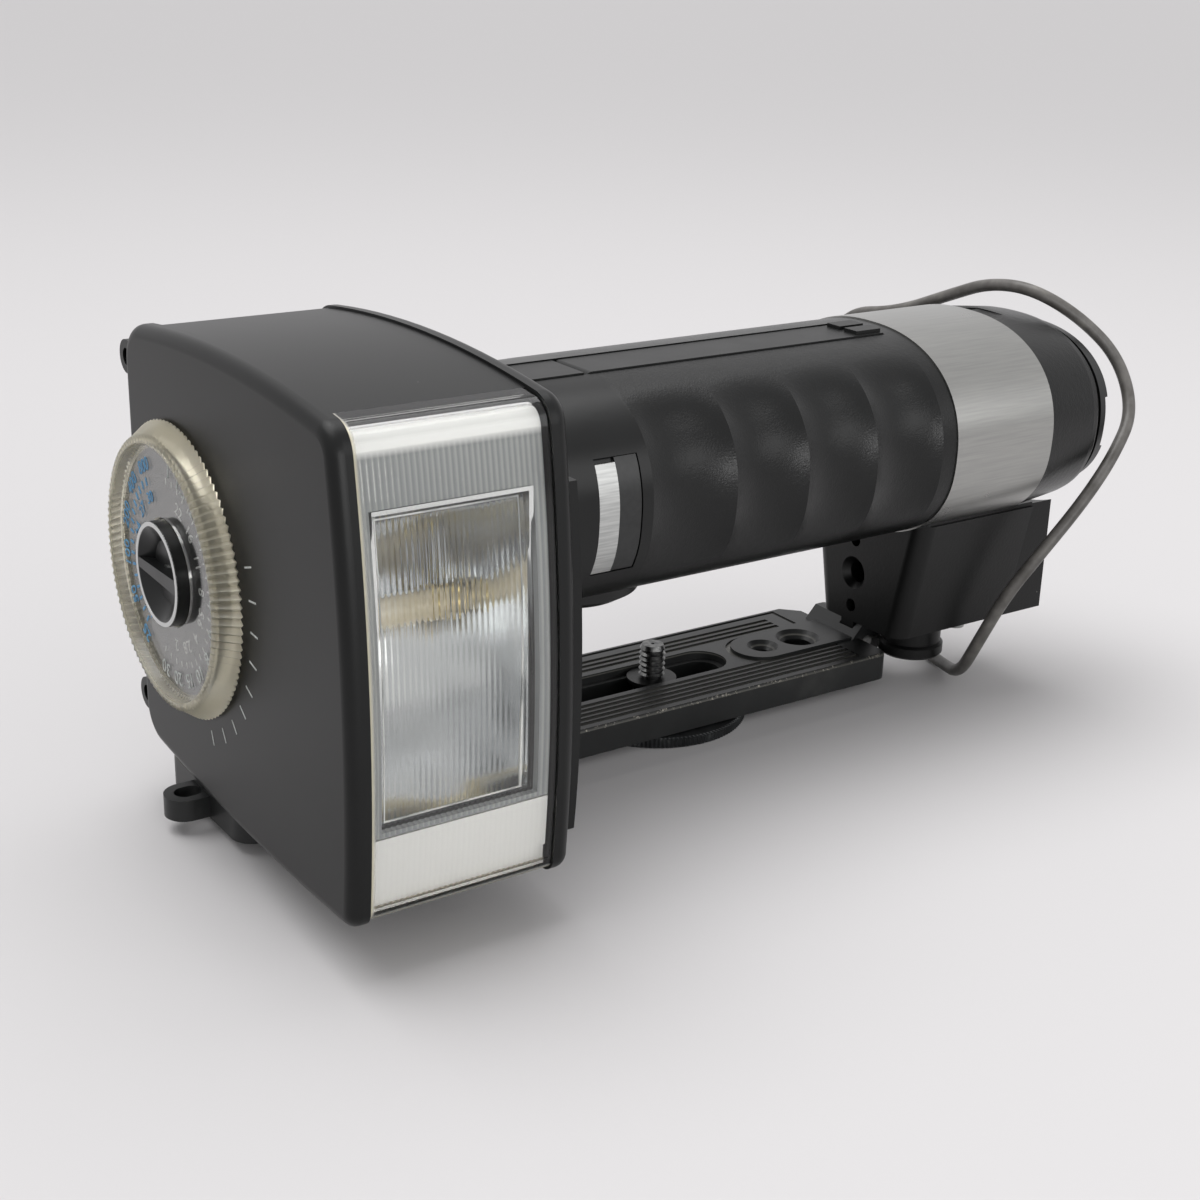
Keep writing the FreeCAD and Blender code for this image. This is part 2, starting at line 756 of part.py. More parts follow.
def butt_cap():
    """Tapered cap whose end turns in on a quarter round."""
    bend_x = butt_x1 - butt_round
    wires = []
    for degrees in (0, 22, 45, 68, 90):
        angle = math.radians(degrees)
        shrink = butt_taper + butt_round * (1 - math.cos(angle))
        wires.append(section_wire(bend_x + butt_round * math.sin(angle),
                                  grip_half_y - shrink, grip_half_z - shrink))
    body = grip_section_solid(0, ring_x1, bend_x, butt_taper)
    body = body.fuse(Part.makeLoft(wires, True, True))
    socket = grip_section_solid(ring_sheet + 0.2, ring_x1, ring_x1 + 2)
    recess = box(ring_x1, ring_x1 + 7, spine_y - spine_half, spine_y + spine_half,
                 grip_z + grip_half_z - 0.9, grip_z + grip_half_z + 5)
    gland = rod(gland_radius, (cord_socket_x, 0, cord_socket_z), (0, 1, 0), 100)
    gland = behind(gland, grip_y + grip_half_y - 5)
    return body.cut([socket, recess, gland])


def end_plate():
    """Raised end plate with a latch step on the finger side."""
    plate = grip_section_solid(end_cap_inset, butt_x1, butt_x1 + end_cap_x,
                               end_cap_inset + 1)
    step = box(butt_x1 + end_cap_x - 1.2, butt_x1 + end_cap_x, -50, 50,
               grip_z - 6, grip_z + 6)
    notch = step.common(grip_section_solid(-1, butt_x1, butt_x1 + 10))
    notch = before(notch, grip_y - grip_half_y + 9)
    return plate.cut(notch)


def accessory_cap():
    """Shallow round cover of the accessory socket on the bracket side of the handle."""
    low = grip_z - grip_half_z - socket_thick
    dish = cone(socket_front_radius, socket_radius, (socket_x, grip_y, low), (0, 0, 1),
                socket_thick)
    root = rod(socket_radius, (socket_x, grip_y, low + socket_thick), (0, 0, 1), 4)
    slot = box(socket_x - socket_front_radius / 2, socket_x + socket_front_radius / 2,
               grip_y - socket_slot_deep, grip_y + socket_slot_deep, low,
               low + socket_slot_deep)
    return dish.fuse(root).cut([slot, grip_section_solid(-0.01, handle_x, grip_end_x)])


# Bracket block

def bracket_block():
    """Cast block whose front part leans out on both sides to cradle the ring."""
    rise = grip_z - block_z0
    spread = block_lean * rise
    section = [V(block_x0, block_y0, block_z0), V(block_x0, block_y1, block_z0),
               V(block_x0, block_y1 + spread, grip_z), V(block_x0, block_y0 - spread, grip_z)]
    cradle = Part.Face(Part.makePolygon(section + section[:1]))
    cradle = cradle.extrude(V(cradle_x1 - block_x0, 0, 0))
    corners = [e for e in edges_at_x(cradle, block_x0) if e.BoundBox.ZLength > rise / 2]
    cradle = cradle.makeFillet(block_round, corners)
    tail = box(cradle_x1 - 1, block_x1, block_y0, block_y1, block_z0, grip_z)
    body = cradle.fuse(tail).removeSplitter()
    body = body.cut(grip_section_solid(-0.32, block_x0 - 5, ring_x1))
    body = body.cut(grip_section_solid(-0.02, ring_x1, block_x1 + 5))
    top = grip_z - grip_half_z + block_top
    body = body.common(box(0, block_x1 + 100, -100, 100, 0, top))
    ledge_y = block_y0 - block_lean * (top - block_z0) + block_ledge
    ledge = box(block_x0 - 1, cradle_x1 + 1, ledge_y - 20, ledge_y, top - 3.2, grip_z)
    cuts = [ledge]
    for z, r in zip(block_hole_z, (block_hole_small, block_hole_large, block_hole_small)):
        cuts.append(rod(r, (block_x0, grip_y, z), (1, 0, 0), block_hole_deep))
    cuts.append(cone(block_hole_sink, block_hole_large, (block_x0, grip_y, block_hole_z[1]),
                     (1, 0, 0), block_hole_sink_deep))
    cuts.append(rod(stud_radius, (knob_x, knob_y, block_z0), (0, 0, 1), 8))
    cuts.append(rod(release_radius + release_gap, (release_x, grip_y, block_z0), (0, 0, 1),
                    release_stroke + 4))
    return body.cut(cuts)


def fold_lug():
    """Plate under the block that carries the fold hinge of the bar."""
    plate = box(fold_x - fold_lug_half, fold_x + fold_lug_half, fold_lug_y0,
                fold_lug_y1, fold_z, block_z0)
    eye = rod(fold_lug_half, (fold_x, fold_lug_y0, fold_z), (0, 1, 0),
              fold_lug_y1 - fold_lug_y0)
    pin = rod(fold_pin, (fold_x, fold_lug_y0 - 1, fold_z), (0, 1, 0),
              fold_lug_y1 - fold_lug_y0 + 2)
    return plate.fuse(eye).removeSplitter().cut(pin)


def knob_stud():
    return rod(stud_radius, (knob_x, knob_y, knob_z0 + 1.2), (0, 0, 1),
               block_z0 + 8 - knob_z0 - 1.2)


def clamp_knob():
    rim = rod(knob_radius, (knob_x, knob_y, knob_z0), (0, 0, 1), knob_rim)
    rim = rim.makeChamfer(knob_edge, [e for e in rim.Edges if isinstance(e.Curve, Part.Circle)])
    neck = rod(knob_neck, (knob_x, knob_y, knob_z0 + knob_edge), (0, 0, 1),
               block_z0 - knob_gap - knob_z0 - knob_edge)
    bore = rod(stud_radius + stud_gap, (knob_x, knob_y, knob_z0 + 1.2), (0, 0, 1), 20)
    return rim.fuse(neck).removeSplitter().cut(bore)


def release_button():
    return rod(release_radius, (release_x, grip_y, release_z0), (0, 0, 1),
               block_z0 + release_deep - release_z0)


# Camera bar

def bar_plate():
    plate = box(bar_x0, bar_x1, bar_y0, bar_y1, bar_z0, bar_z1)
    plate = fillet_along(plate, (0, 0, 1), bar_corner,
                         lambda e: e.CenterOfMass.x < bar_x0 + 1)
    plate = fillet_along(plate, (0, 0, 1), bar_near_corner,
                         lambda e: e.CenterOfMass.x > bar_x1 - 1
                         and e.CenterOfMass.y < bar_y0 + 1)
    far = [e for e in plate.Edges if abs(e.BoundBox.XMin - bar_x1) < 1e-4
           and abs(e.BoundBox.YMin - bar_y1) < 1e-4 and e.BoundBox.ZLength > 1]
    plate = plate.makeChamfer(bar_far_corner, far)
    rim = [e for e in plate.Edges if abs(e.BoundBox.ZMin - bar_z1) < 1e-4
           and e.BoundBox.XMin < bar_x1 - 1e-4]
    return plate.makeChamfer(bar_bevel, rim)


def bar_pad():
    """Raised pad round the two countersunk holes; it runs out to the end of the bar."""
    pad = oblong(pad_x0, bar_x1, pad_y, pad_half, bar_z1 - 1, bar_z1 + pad_rise)
    return pad.common(box(0, bar_x1, -100, 100, 0, 100))


def bar_cuts():
    """Slot, the moat round the pad, ribs and border groove."""
    cuts = [oblong(bar_slot_x0, bar_slot_x1, bar_slot_y, bar_slot_half, 0, bar_z1),
            oblong(bar_slot_x0, bar_slot_x1, bar_slot_y, bar_sink_half,
                   bar_z1 - bar_sink_deep, bar_z1 + 1),
            oblong(pad_x0, pad_x0 + moat_long, pad_y, pad_half + moat_wide,
                   bar_z1 - moat_deep, bar_z1 + 1)]
    for y in bar_ribs_y:
        end = bar_ribs_x1 if y < bar_slot_y else bar_far_ribs_x1
        cuts.append(box(bar_x0 + 8, end, y - bar_rib_wide / 2, y + bar_rib_wide / 2,
                        bar_z1 - bar_rib_deep, bar_z1 + 1))
    low = bar_z1 - bar_border_deep
    edge = bar_border_y + bar_border_half
    cuts.append(box(bar_x0 + 8, bar_border_x, edge - 2 * bar_border_half, edge,
                    low, bar_z1 + 1))
    cuts.append(box(bar_border_x - 2 * bar_border_half, bar_border_x,
                    edge - bar_border_turn, edge, low, bar_z1 + 1))
    return cuts


def pad_holes():
    cuts = []
    top = bar_z1 + pad_rise
    for x, r in ((pad_small_x, pad_small), (pad_large_x, pad_large)):
        cuts.append(rod(r, (x, pad_y, 0), (0, 0, 1), 20))
        cuts.append(cone(r, r + pad_sink, (x, pad_y, top - pad_sink), (0, 0, 1), pad_sink))
    return cuts


def eye_span():
    return fold_lug_y0 - fold_gap - fold_near, fold_lug_y1 + fold_gap + fold_far


def ramp_seat():
    """Top layer of the bar's end, which is one piece with the ramp."""
    y0, y1 = eye_span()
    return box(ramp_x0, bar_x1, y0, y1, bar_z1 - ramp_seat_deep, bar_z1 + pad_rise)


def bar_end():
    """Ramp let into the end of the bar, forked round the lug to make the hinge's eyes."""
    top = fold_z + fold_radius
    low = fold_z - fold_radius
    y0, y1 = eye_span()
    profile = [V(bar_x1, y0, low), V(bar_x1, y0, bar_z1), V(ramp_x0, y0, bar_z1),
               V(ramp_x0 + ramp_long, y0, top), V(fold_x, y0, top), V(fold_x, y0, low)]
    ramp = Part.Face(Part.makePolygon(profile + profile[:1])).extrude(V(0, y1 - y0, 0))
    eye = rod(fold_radius, (fold_x, y0, fold_z), (0, 1, 0), y1 - y0)
    bore = rod(fold_pin + fold_pin_gap, (fold_x, y0 - 1, fold_z), (0, 1, 0), y1 - y0 + 2)
    plate = box(bar_x0, bar_x1, bar_y0, bar_y1, 0, bar_z1 - ramp_seat_deep)
    foot = bar_blank().common(ramp_seat())
    return ramp.fuse([eye, foot]).cut([plate, fold_notch(), bore]).removeSplitter()


def fold_notch():
    """Room for the lug of the block between the eyes of the bar."""
    side = fold_lug_half + fold_gap
    return box(fold_x - side, fold_x + side + fold_radius, fold_lug_y0 - fold_gap,
               fold_lug_y1 + fold_gap, 0, fold_z + 3 * fold_radius)


def end_lug():
    x = bar_x0 - lug_x + lug_half
    lug = oblong(x, bar_x0 + 3, bar_slot_y, lug_half, lug_z0, lug_z0 + lug_z)
    eye = oblong(x, x + lug_eye_long, bar_slot_y, lug_half - lug_wall, 0, 20)
    return lug, eye


def bar_blank():
    """Ribbed plate with its pad, before the holes are made."""
    return bar_plate().cut(bar_cuts()).fuse(bar_pad()).removeSplitter()


def camera_bar():
    lug, eye = end_lug()
    bar = bar_blank().fuse(lug).removeSplitter()
    return bar.cut(pad_holes() + [ramp_seat(), fold_notch(), eye])


def fold_axle():
    start = fold_lug_y0 - fold_gap - fold_near
    return rod(fold_pin, (fold_x, start, fold_z), (0, 1, 0),
               fold_lug_y1 + fold_gap + fold_far - start)


def slide_bush():
    """Flanged bush that runs in the slot and carries the camera screw."""
    half = bar_slot_half - bush_gap
    flange_z = bar_z1 - bar_sink_deep
    body = rod(half, (screw_x, bar_slot_y, wheel_z1 + bush_gap), (0, 0, 1),
               flange_z + bush_flange - wheel_z1)
    flange = rod(bar_sink_half - bush_gap, (screw_x, bar_slot_y, flange_z + bush_gap),
                 (0, 0, 1), bush_flange)
    bore = rod(screw_neck + screw_neck_gap, (screw_x, bar_slot_y, 0), (0, 0, 1), 30)
    return body.fuse(flange).cut(bore)


def camera_screw():
    """Stud with a thinner neck, which the bush keeps from falling out."""
    stud = rod(screw_radius, (screw_x, bar_slot_y, screw_neck_top), (0, 0, 1),
               screw_top - screw_neck_top)
    tip = [e for e in stud.Edges if abs(e.BoundBox.ZMin - screw_top) < 1e-4]
    neck = rod(screw_neck, (screw_x, bar_slot_y, wheel_z1), (0, 0, 1),
               screw_neck_top - wheel_z1)
    return stud.makeChamfer(screw_tip, tip).fuse(neck).removeSplitter()


def screw_wheel():
    wheel = rod(wheel_radius, (screw_x, bar_slot_y, wheel_z0), (0, 0, 1),
                wheel_z1 - wheel_z0)
    coin = box(screw_x - coin_half, screw_x + coin_half, bar_slot_y - coin_wide / 2,
               bar_slot_y + coin_wide / 2, wheel_z0 - 1, wheel_z0 + coin_deep)
    return knurled(wheel.cut(coin), (screw_x, bar_slot_y, -1), (0, 0, 1), wheel_radius,
                   wheel_knurl_depth, wheel_knurls, wheel_z1 + 2)


# Sync cord: straight runs joined by tangent arcs

cord_route = [
    (203.0, 45.0, 58.0), (203.0, 60.0, 58.0), (203.4, 68.0, 69.0), (204.0, 60.0, 81.0),
    (206.8, 45.0, 83.4), (212.6, 31.0, 90.2), (211.4, 18.0, 95.2), (211.4, 4.0, 96.4),
    (220.8, -3.5, 90.0), (228.8, -10.0, 80.6), (226.8, -18.0, 69.2),
    (216.5, -22.5, 61.0), (207.0, -23.6, 52.0), (198.8, -21.0, 41.0), (191.6, -16.5, 28.6),
    (187.2, -12.6, 15.0), (190.4, -5.0, 4.2), (195.8, 6.0, 1.7), (198.5, 17.5, 2.0),
    (203.0, 28.0, 3.4), (210.5, 37.0, 3.4),
]


def cord_path():
    points = [V(*p) for p in cord_route]
    edges = []
    here = points[0]
    for a, b, c in zip(points, points[1:], points[2:]):
        back = a - b
        ahead = c - b
        run = min(back.Length, ahead.Length)
        back.normalize()
        ahead.normalize()
        turn = math.pi - back.getAngle(ahead)
        reach = 0.45 * run
        radius = reach / math.tan(turn / 2)
        print("cord arc radius %.1f mm at a turn of %.0f degrees" % (radius, math.degrees(turn)))
        start = b + back * reach
        end = b + ahead * reach
        bisect = back + ahead
        bisect.normalize()
        centre = b + bisect * math.hypot(radius, reach)
        middle = centre - bisect * radius
        edges.append(Part.LineSegment(here, start).toShape())
        edges.append(Part.Arc(start, middle, end).toShape())
        here = end
    edges.append(Part.LineSegment(here, points[-1]).toShape())
    return Part.Wire(edges)


def sync_cord():
    path = cord_path()
    start = V(*cord_route[0])
    along = V(*cord_route[1]) - start
    circle = Part.Wire([Part.Circle(start, along, cord_radius).toShape()])
    tube = path.makePipeShell([circle], True, False)
    print("cord volume %.0f mm3, section times length %.0f mm3"
          % (tube.Volume, math.pi * cord_radius ** 2 * path.Length))
    return tube


def cord_gland():
    """Tapered sleeve that guards the cord where it leaves the handle."""
    x, y, z = cord_route[0]
    wall = grip_y + grip_half_y - 5
    sleeve = cone(gland_radius, cord_radius + 0.7, (x, y - gland_long, z), (0, 1, 0),
                  gland_long)
    root = rod(gland_radius, (x, wall, z), (0, 1, 0), y - gland_long - wall)
    return sleeve.fuse(root).removeSplitter()


def plug_line():
    end = V(*cord_route[-1])
    along = end - V(*cord_route[-2])
    along.normalize()
    return end, along


def sync_plug():
    end, along = plug_line()
    taper = Part.makeCone(cord_radius, plug_radius, 4, end, along)
    shell = Part.makeCylinder(plug_radius, plug_long - 4, end + along * 4, along)
    return taper.fuse(shell).removeSplitter()


def sync_plug_tip():
    end, along = plug_line()
    return Part.makeCylinder(plug_tip_radius, plug_tip_long, end + along * plug_long, along)


pieces = {
    "dial_cover": dial_cover(),
    "head_housing": head_housing(),
    "grip_cover": grip_cover(),
    "lens": lens(),
    "window_frame": window_frame(),
    "lower_diffuser": lower_diffuser(),
    "reflector": reflector(),
    "flash_tube": flash_tube(),
    "tube_clips": tube_clips(),
    "contact_tabs": contact_tabs(),
    "dial_scale": dial_scale(),
    "dial_ring": dial_ring(),
    "dial_knob": dial_knob(),
    "dial_axle": dial_axle(),
    "strap_eyelets": strap_eyelets(),
    "back_panel": back_panel(),
    "ready_lamp": ready_lamp(),
    "test_button": test_button(),
    "power_switch": power_switch(),
    "tilt_plate": tilt_plate(),
    "tilt_pin": tilt_pin(),
    "grip_body": grip_body(),
    "badge_plate": badge_plate(),
    "badge_strip": badge_strip(),
    "spine_front": spine_front(),
    "battery_cover": battery_cover(),
    "battery_cover_pin": battery_cover_pin(),
    "battery_pack": battery_pack(),
    "ring_band": ring_band(),
    "butt_cap": butt_cap(),
    "end_plate": end_plate(),
    "accessory_cap": accessory_cap(),
    "bracket_block": bracket_block(),
    "fold_lug": fold_lug(),
    "knob_stud": knob_stud(),
    "clamp_knob": clamp_knob(),
    "release_button": release_button(),
    "camera_bar": camera_bar(),
    "bar_end": bar_end(),
    "fold_axle": fold_axle(),
    "slide_bush": slide_bush(),
    "camera_screw": camera_screw(),
    "screw_wheel": screw_wheel(),
}
cord_pieces = {
    "cord_gland": cord_gland(),
    "sync_cord": sync_cord(),
    "sync_plug": sync_plug(),
    "sync_plug_tip": sync_plug_tip(),
}

whole = FreeCAD.BoundBox()
for shape in pieces.values():
    whole.add(shape.optimalBoundingBox(False, False))
origin = V((whole.XMin + whole.XMax) / 2, (whole.YMin + whole.YMax) / 2, 0)
print("origin moved from %.3f, %.3f" % (origin.x, origin.y))

os.makedirs("parts", exist_ok=True)
for name, shape in list(pieces.items()) + list(cord_pieces.items()):
    placed = shape.copy()
    placed.translate(-origin)
    placed.exportStep("parts/%s.step" % name)
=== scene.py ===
import math

import bpy
from mathutils import Matrix, Vector


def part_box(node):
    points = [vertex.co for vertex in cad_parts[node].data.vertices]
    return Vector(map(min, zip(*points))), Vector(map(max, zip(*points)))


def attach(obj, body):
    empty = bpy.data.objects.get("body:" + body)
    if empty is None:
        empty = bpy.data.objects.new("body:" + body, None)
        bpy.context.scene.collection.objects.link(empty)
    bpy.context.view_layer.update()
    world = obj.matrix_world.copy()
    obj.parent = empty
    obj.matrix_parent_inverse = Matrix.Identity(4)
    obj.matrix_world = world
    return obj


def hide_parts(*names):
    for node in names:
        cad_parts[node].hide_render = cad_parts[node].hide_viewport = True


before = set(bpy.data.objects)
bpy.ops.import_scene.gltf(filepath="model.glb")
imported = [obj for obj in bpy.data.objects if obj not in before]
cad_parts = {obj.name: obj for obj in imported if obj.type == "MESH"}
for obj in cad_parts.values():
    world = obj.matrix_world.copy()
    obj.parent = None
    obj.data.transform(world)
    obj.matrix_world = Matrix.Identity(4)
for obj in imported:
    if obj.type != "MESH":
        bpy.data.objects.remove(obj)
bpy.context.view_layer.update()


# Camera. It stands in front of the corner between the dial and the lens, a little above
# the head, and looks along the handle to the butt. Places are in millimetres: X from the
# dial's cover, Y with the front edge of the bar at bar_edge, and Z up from the table.
bar_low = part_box("camera_bar")[0]
cover_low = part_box("dial_cover")[0]
bar_edge = 4.6


def at(x, y, z):
    return Vector((cover_low[0] + x / 1000, bar_low[1] + (y - bar_edge) / 1000, z / 1000))


azimuth = math.radians(-34.76)
elevation = math.radians(20.465)
roll = math.radians(1.631)
backward = Vector((math.sin(azimuth) * math.cos(elevation),
                   -math.cos(azimuth) * math.cos(elevation), math.sin(elevation)))
level_right = Vector((0, 0, 1)).cross(backward).normalized()
level_up = backward.cross(level_right)
right = level_right * math.cos(roll) + level_up * math.sin(roll)
up = level_up * math.cos(roll) - level_right * math.sin(roll)
turn = Matrix((right, up, backward)).transposed().to_4x4()
eye = at(-126.6, -305.4, 180.4)
bpy.ops.object.camera_add()
camera = bpy.context.object
camera.data.lens = 56.15
camera.data.clip_start = 0.01
camera.matrix_world = Matrix.Translation(eye) @ turn
bpy.context.scene.camera = camera


# Sync cord. A round rubber lead leaves the back of the butt, loops over it, hangs down in
# front of the bracket block and runs back along the table to its plug. Its sheath is
# extruded, so the skin is dull and even, with cloudy lighter patches.
def hex_rgb(code):
    """Linear colour of an sRGB hex code."""
    parts = [int(code[i:i + 2], 16) / 255 for i in (1, 3, 5)]
    return [p / 12.92 if p < 0.04045 else ((p + 0.055) / 1.055) ** 2.4 for p in parts] + [1]


def link(mat, source, socket):
    """Feeds a socket from another socket, or from a node's first output."""
    mat.node_tree.links.new(getattr(source, "outputs", [source])[0], socket)


def node(mat, kind, settings=None, links=None, stops=()):
    """Adds a shader node with its settings, what feeds it, and a colour ramp's stops."""
    new = mat.node_tree.nodes.new("ShaderNode" + kind)
    for key, value in (settings or {}).items():
        if isinstance(key, int) or key in new.inputs:
            new.inputs[key].default_value = value
        else:
            setattr(new, key, value)
    for key, source in (links or {}).items():
        link(mat, source, new.inputs[key])
    if stops:
        band = new.color_ramp.elements
        while len(band) < len(stops):
            band.new(0.5)
        for element, (position, code) in zip(band, stops):
            element.position = position
            element.color = hex_rgb(code)
    return new


def finish(name, colour, settings):
    """A new material, its main shader and its object coordinates."""
    mat = bpy.data.materials.new(name)
    mat.use_nodes = True
    shader = mat.node_tree.nodes["Principled BSDF"]
    shader.inputs["Base Color"].default_value = hex_rgb(colour)
    for key, value in settings.items():
        shader.inputs[key].default_value = value
    place = node(mat, "TexCoord").outputs["Object"]
    return mat, shader, place


def join(mat, shader, **sources):
    """Feeds the main shader's sockets, named with _ for each space."""
    for key, source in sources.items():
        link(mat, source, shader.inputs[key.replace("_", " ")])


def dress(mat, *nodes):
    """Gives a finish to frame nodes, whose shape is right as it is."""
    for name in nodes:
        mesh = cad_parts[name].data
        mesh.materials.clear()
        mesh.materials.append(mat)


cord_rubber, shader, place = finish("extruded_grey_rubber", "#686561", {"Roughness": 0.42})
clouds = node(cord_rubber, "TexNoise", {"Scale": 220.0, "Detail": 4.0}, {"Vector": place})
tint = node(cord_rubber, "ValToRGB", links={"Fac": clouds},
            stops=[(0.3, "#4b4844"), (0.55, "#666360"), (0.75, "#7c7973")])
skin = node(cord_rubber, "TexNoise", {"Scale": 2600.0, "Detail": 2.0}, {"Vector": place})
relief = node(cord_rubber, "Bump", {"Strength": 0.12, "Distance": 0.0001}, {"Height": skin})
join(cord_rubber, shader, Base_Color=tint, Normal=relief)

cord_thick = 0.003
cord_route = [
    (203.0, 45.0, 58.0), (203.0, 60.0, 58.0), (203.4, 68.0, 69.0), (204.0, 60.0, 81.0),
    (206.8, 45.0, 83.4), (212.6, 31.0, 90.2), (211.4, 18.0, 95.2), (211.4, 4.0, 96.4),
    (220.8, -3.5, 90.0), (228.8, -10.0, 80.6), (226.8, -18.0, 69.2),
    (216.5, -22.5, 61.0), (207.0, -23.6, 52.0), (198.8, -21.0, 41.0), (191.6, -16.5, 28.6),
    (187.2, -12.6, 15.0), (190.4, -5.0, 4.2), (195.8, 6.0, 1.7), (198.5, 17.5, 2.0),
    (203.0, 28.0, 3.4), (210.5, 37.0, 3.4),
]
line = bpy.data.curves.new("sync_cord_sheath", "CURVE")
line.dimensions = "3D"
line.bevel_depth = cord_thick / 2
line.bevel_resolution = 5
line.resolution_u = 10
line.use_fill_caps = True
spline = line.splines.new("NURBS")
spline.points.add(len(cord_route) - 1)
for point, spot in zip(spline.points, cord_route):
    point.co = (*at(*spot), 1)
spline.order_u = 3
spline.use_endpoint_u = True
cord = bpy.data.objects.new("sync_cord_sheath", line)
bpy.context.scene.collection.objects.link(cord)
line.materials.append(cord_rubber)
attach(cord, "handle")
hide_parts("sync_cord")
dress(cord_rubber, "cord_gland", "sync_plug")


# Head shell. Two end covers and the housing between them are injection moulded in black
# ABS with a fine spark texture, drawn about 0.26 mm wide so that it shows, and meet in a
# shadow line. Age has left cloudy patches and a grey dust in the texture.
def dusted(mat, place, skin, share):
    """Scatters specks of pale dust, about a quarter of a millimetre wide, on a skin."""
    cell = node(mat, "TexVoronoi", {"Scale": 210.0}, {"Vector": place})
    pick = node(mat, "SeparateColor", links={"Color": cell.outputs["Color"]})
    chosen = node(mat, "Math", {"operation": "LESS_THAN", 1: share}, {0: pick.outputs["Red"]})
    speck = node(mat, "MapRange", {"From Min": 0.034, "From Max": 0.02},
                 {"Value": cell.outputs["Distance"]})
    mask = node(mat, "Math", {"operation": "MULTIPLY"}, {0: chosen, 1: speck})
    return node(mat, "MixRGB", {"Color2": hex_rgb("#8f8e8a")}, {"Fac": mask, "Color1": skin})


head_abs, shader, place = finish("black_abs_fine_spark", "#0d0e0e",
                                 {"Roughness": 0.36, "Specular IOR Level": 0.27})
cloud = node(head_abs, "TexNoise", {"Scale": 38.0, "Detail": 6.0, "Roughness": 0.6},
             {"Vector": place})
tint = node(head_abs, "ValToRGB", links={"Fac": cloud},
            stops=[(0.3, "#090a0a"), (0.6, "#0e0f0f"), (0.8, "#161717")])
spark = node(head_abs, "TexNoise", {"Scale": 3800.0, "Detail": 2.0}, {"Vector": place})
relief = node(head_abs, "Bump", {"Strength": 0.16, "Distance": 0.00012}, {"Height": spark})
join(head_abs, shader, Base_Color=dusted(head_abs, place, tint, 0.3), Normal=relief)
dress(head_abs, "dial_cover", "head_housing", "grip_cover", "strap_eyelets", "tilt_plate")


# Lens. A clear acrylic moulding closes the front of the head and wraps over its top and
# bottom edges, where it is smooth and bright. The front has fine upright flutes on the
# inside, which end under the brow, and age has turned its cut edges cream.
flute_pitch = 1.1
brow_low = 0.0949
brow_clear = 0.0957


def flutes(mat, place):
    """The place on a front piece by axis, and the wave of the flutes along its X."""
    spread = node(mat, "SeparateXYZ", links={"Vector": place})
    wave = node(mat, "Math", {"operation": "MULTIPLY", 1: 2000 * math.pi / flute_pitch},
                {0: spread.outputs["X"]})
    return spread, node(mat, "Math", {"operation": "SINE"}, {0: wave})


clear_acrylic, shader, place = finish(
    "clear_acrylic_fluted", "#fdfdfb",
    {"Roughness": 0.03, "IOR": 1.49, "Transmission Weight": 1.0})
spread, crest = flutes(clear_acrylic, place)
below_brow = node(clear_acrylic, "MapRange",
                  {"From Min": brow_clear, "From Max": brow_low, "To Min": 0.0, "To Max": 1.0},
                  {"Value": spread.outputs["Z"]})
height = node(clear_acrylic, "Math", {"operation": "MULTIPLY"}, {0: crest, 1: below_brow})
relief = node(clear_acrylic, "Bump", {"Strength": 0.3, "Distance": 0.00004},
              {"Height": height})
lens_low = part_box("lens")[0]
left_edge = node(clear_acrylic, "MapRange",
                 {"From Min": lens_low[0] + 0.0011, "From Max": lens_low[0] + 0.0005},
                 {"Value": spread.outputs["X"]})
low_edge = node(clear_acrylic, "MapRange",
                {"From Min": lens_low[2] + 0.0022, "From Max": lens_low[2] + 0.0012},
                {"Value": spread.outputs["Z"]})
aged = node(clear_acrylic, "Math", {"operation": "MAXIMUM"}, {0: left_edge, 1: low_edge})
tint = node(clear_acrylic, "ValToRGB", links={"Fac": aged},
            stops=[(0.0, "#fdfdfb"), (1.0, "#e3dbc2")])
clear_part = node(clear_acrylic, "MapRange", {"To Min": 1.0, "To Max": 0.25}, {"Value": aged})
join(clear_acrylic, shader, Normal=relief, Base_Color=tint, Transmission_Weight=clear_part)
dress(clear_acrylic, "lens")


# Panel behind the lens. A grey translucent sheet frames the window and fills the strip above
# it.
# It carries the same flutes, with painted light and shade in thin light and dark lines along
# them, and is smooth in the brow, which is painted nearly white as a painted highlight.
brow_full = 0.0962
fluted_grey, shader, place = finish("fluted_grey_polystyrene", "#9a9d9d",
                                    {"Roughness": 0.3})
spread, crest = flutes(fluted_grey, place)
# Painted light and shade: the colour is lighter on the flute crests and darker between them.
painted_flute_shade = node(fluted_grey, "MapRange", {"From Min": -1.0}, {"Value": crest})
strip = node(fluted_grey, "ValToRGB", links={"Fac": painted_flute_shade},
             stops=[(0.0, "#8d9192"), (0.7, "#979b9c"), (1.0, "#abaead")])
# The brow mask smooths the flutes there and also mixes in near white, a painted highlight.
brow_smooth_and_highlight = node(fluted_grey, "MapRange", {"From Min": brow_low, "From Max": brow_full},
                 {"Value": spread.outputs["Z"]})
flat_part = node(fluted_grey, "MapRange", {"To Min": 1.0, "To Max": 0.0},
                 {"Value": brow_smooth_and_highlight})
height = node(fluted_grey, "Math", {"operation": "MULTIPLY"}, {0: crest, 1: flat_part})
relief = node(fluted_grey, "Bump", {"Strength": 0.2, "Distance": 0.0001}, {"Height": height})
colour = node(fluted_grey, "MixRGB", {"Color2": hex_rgb("#f4f5f4")},
              {"Fac": brow_smooth_and_highlight, "Color1": strip})
join(fluted_grey, shader, Base_Color=colour, Normal=relief)
dress(fluted_grey, "window_frame")


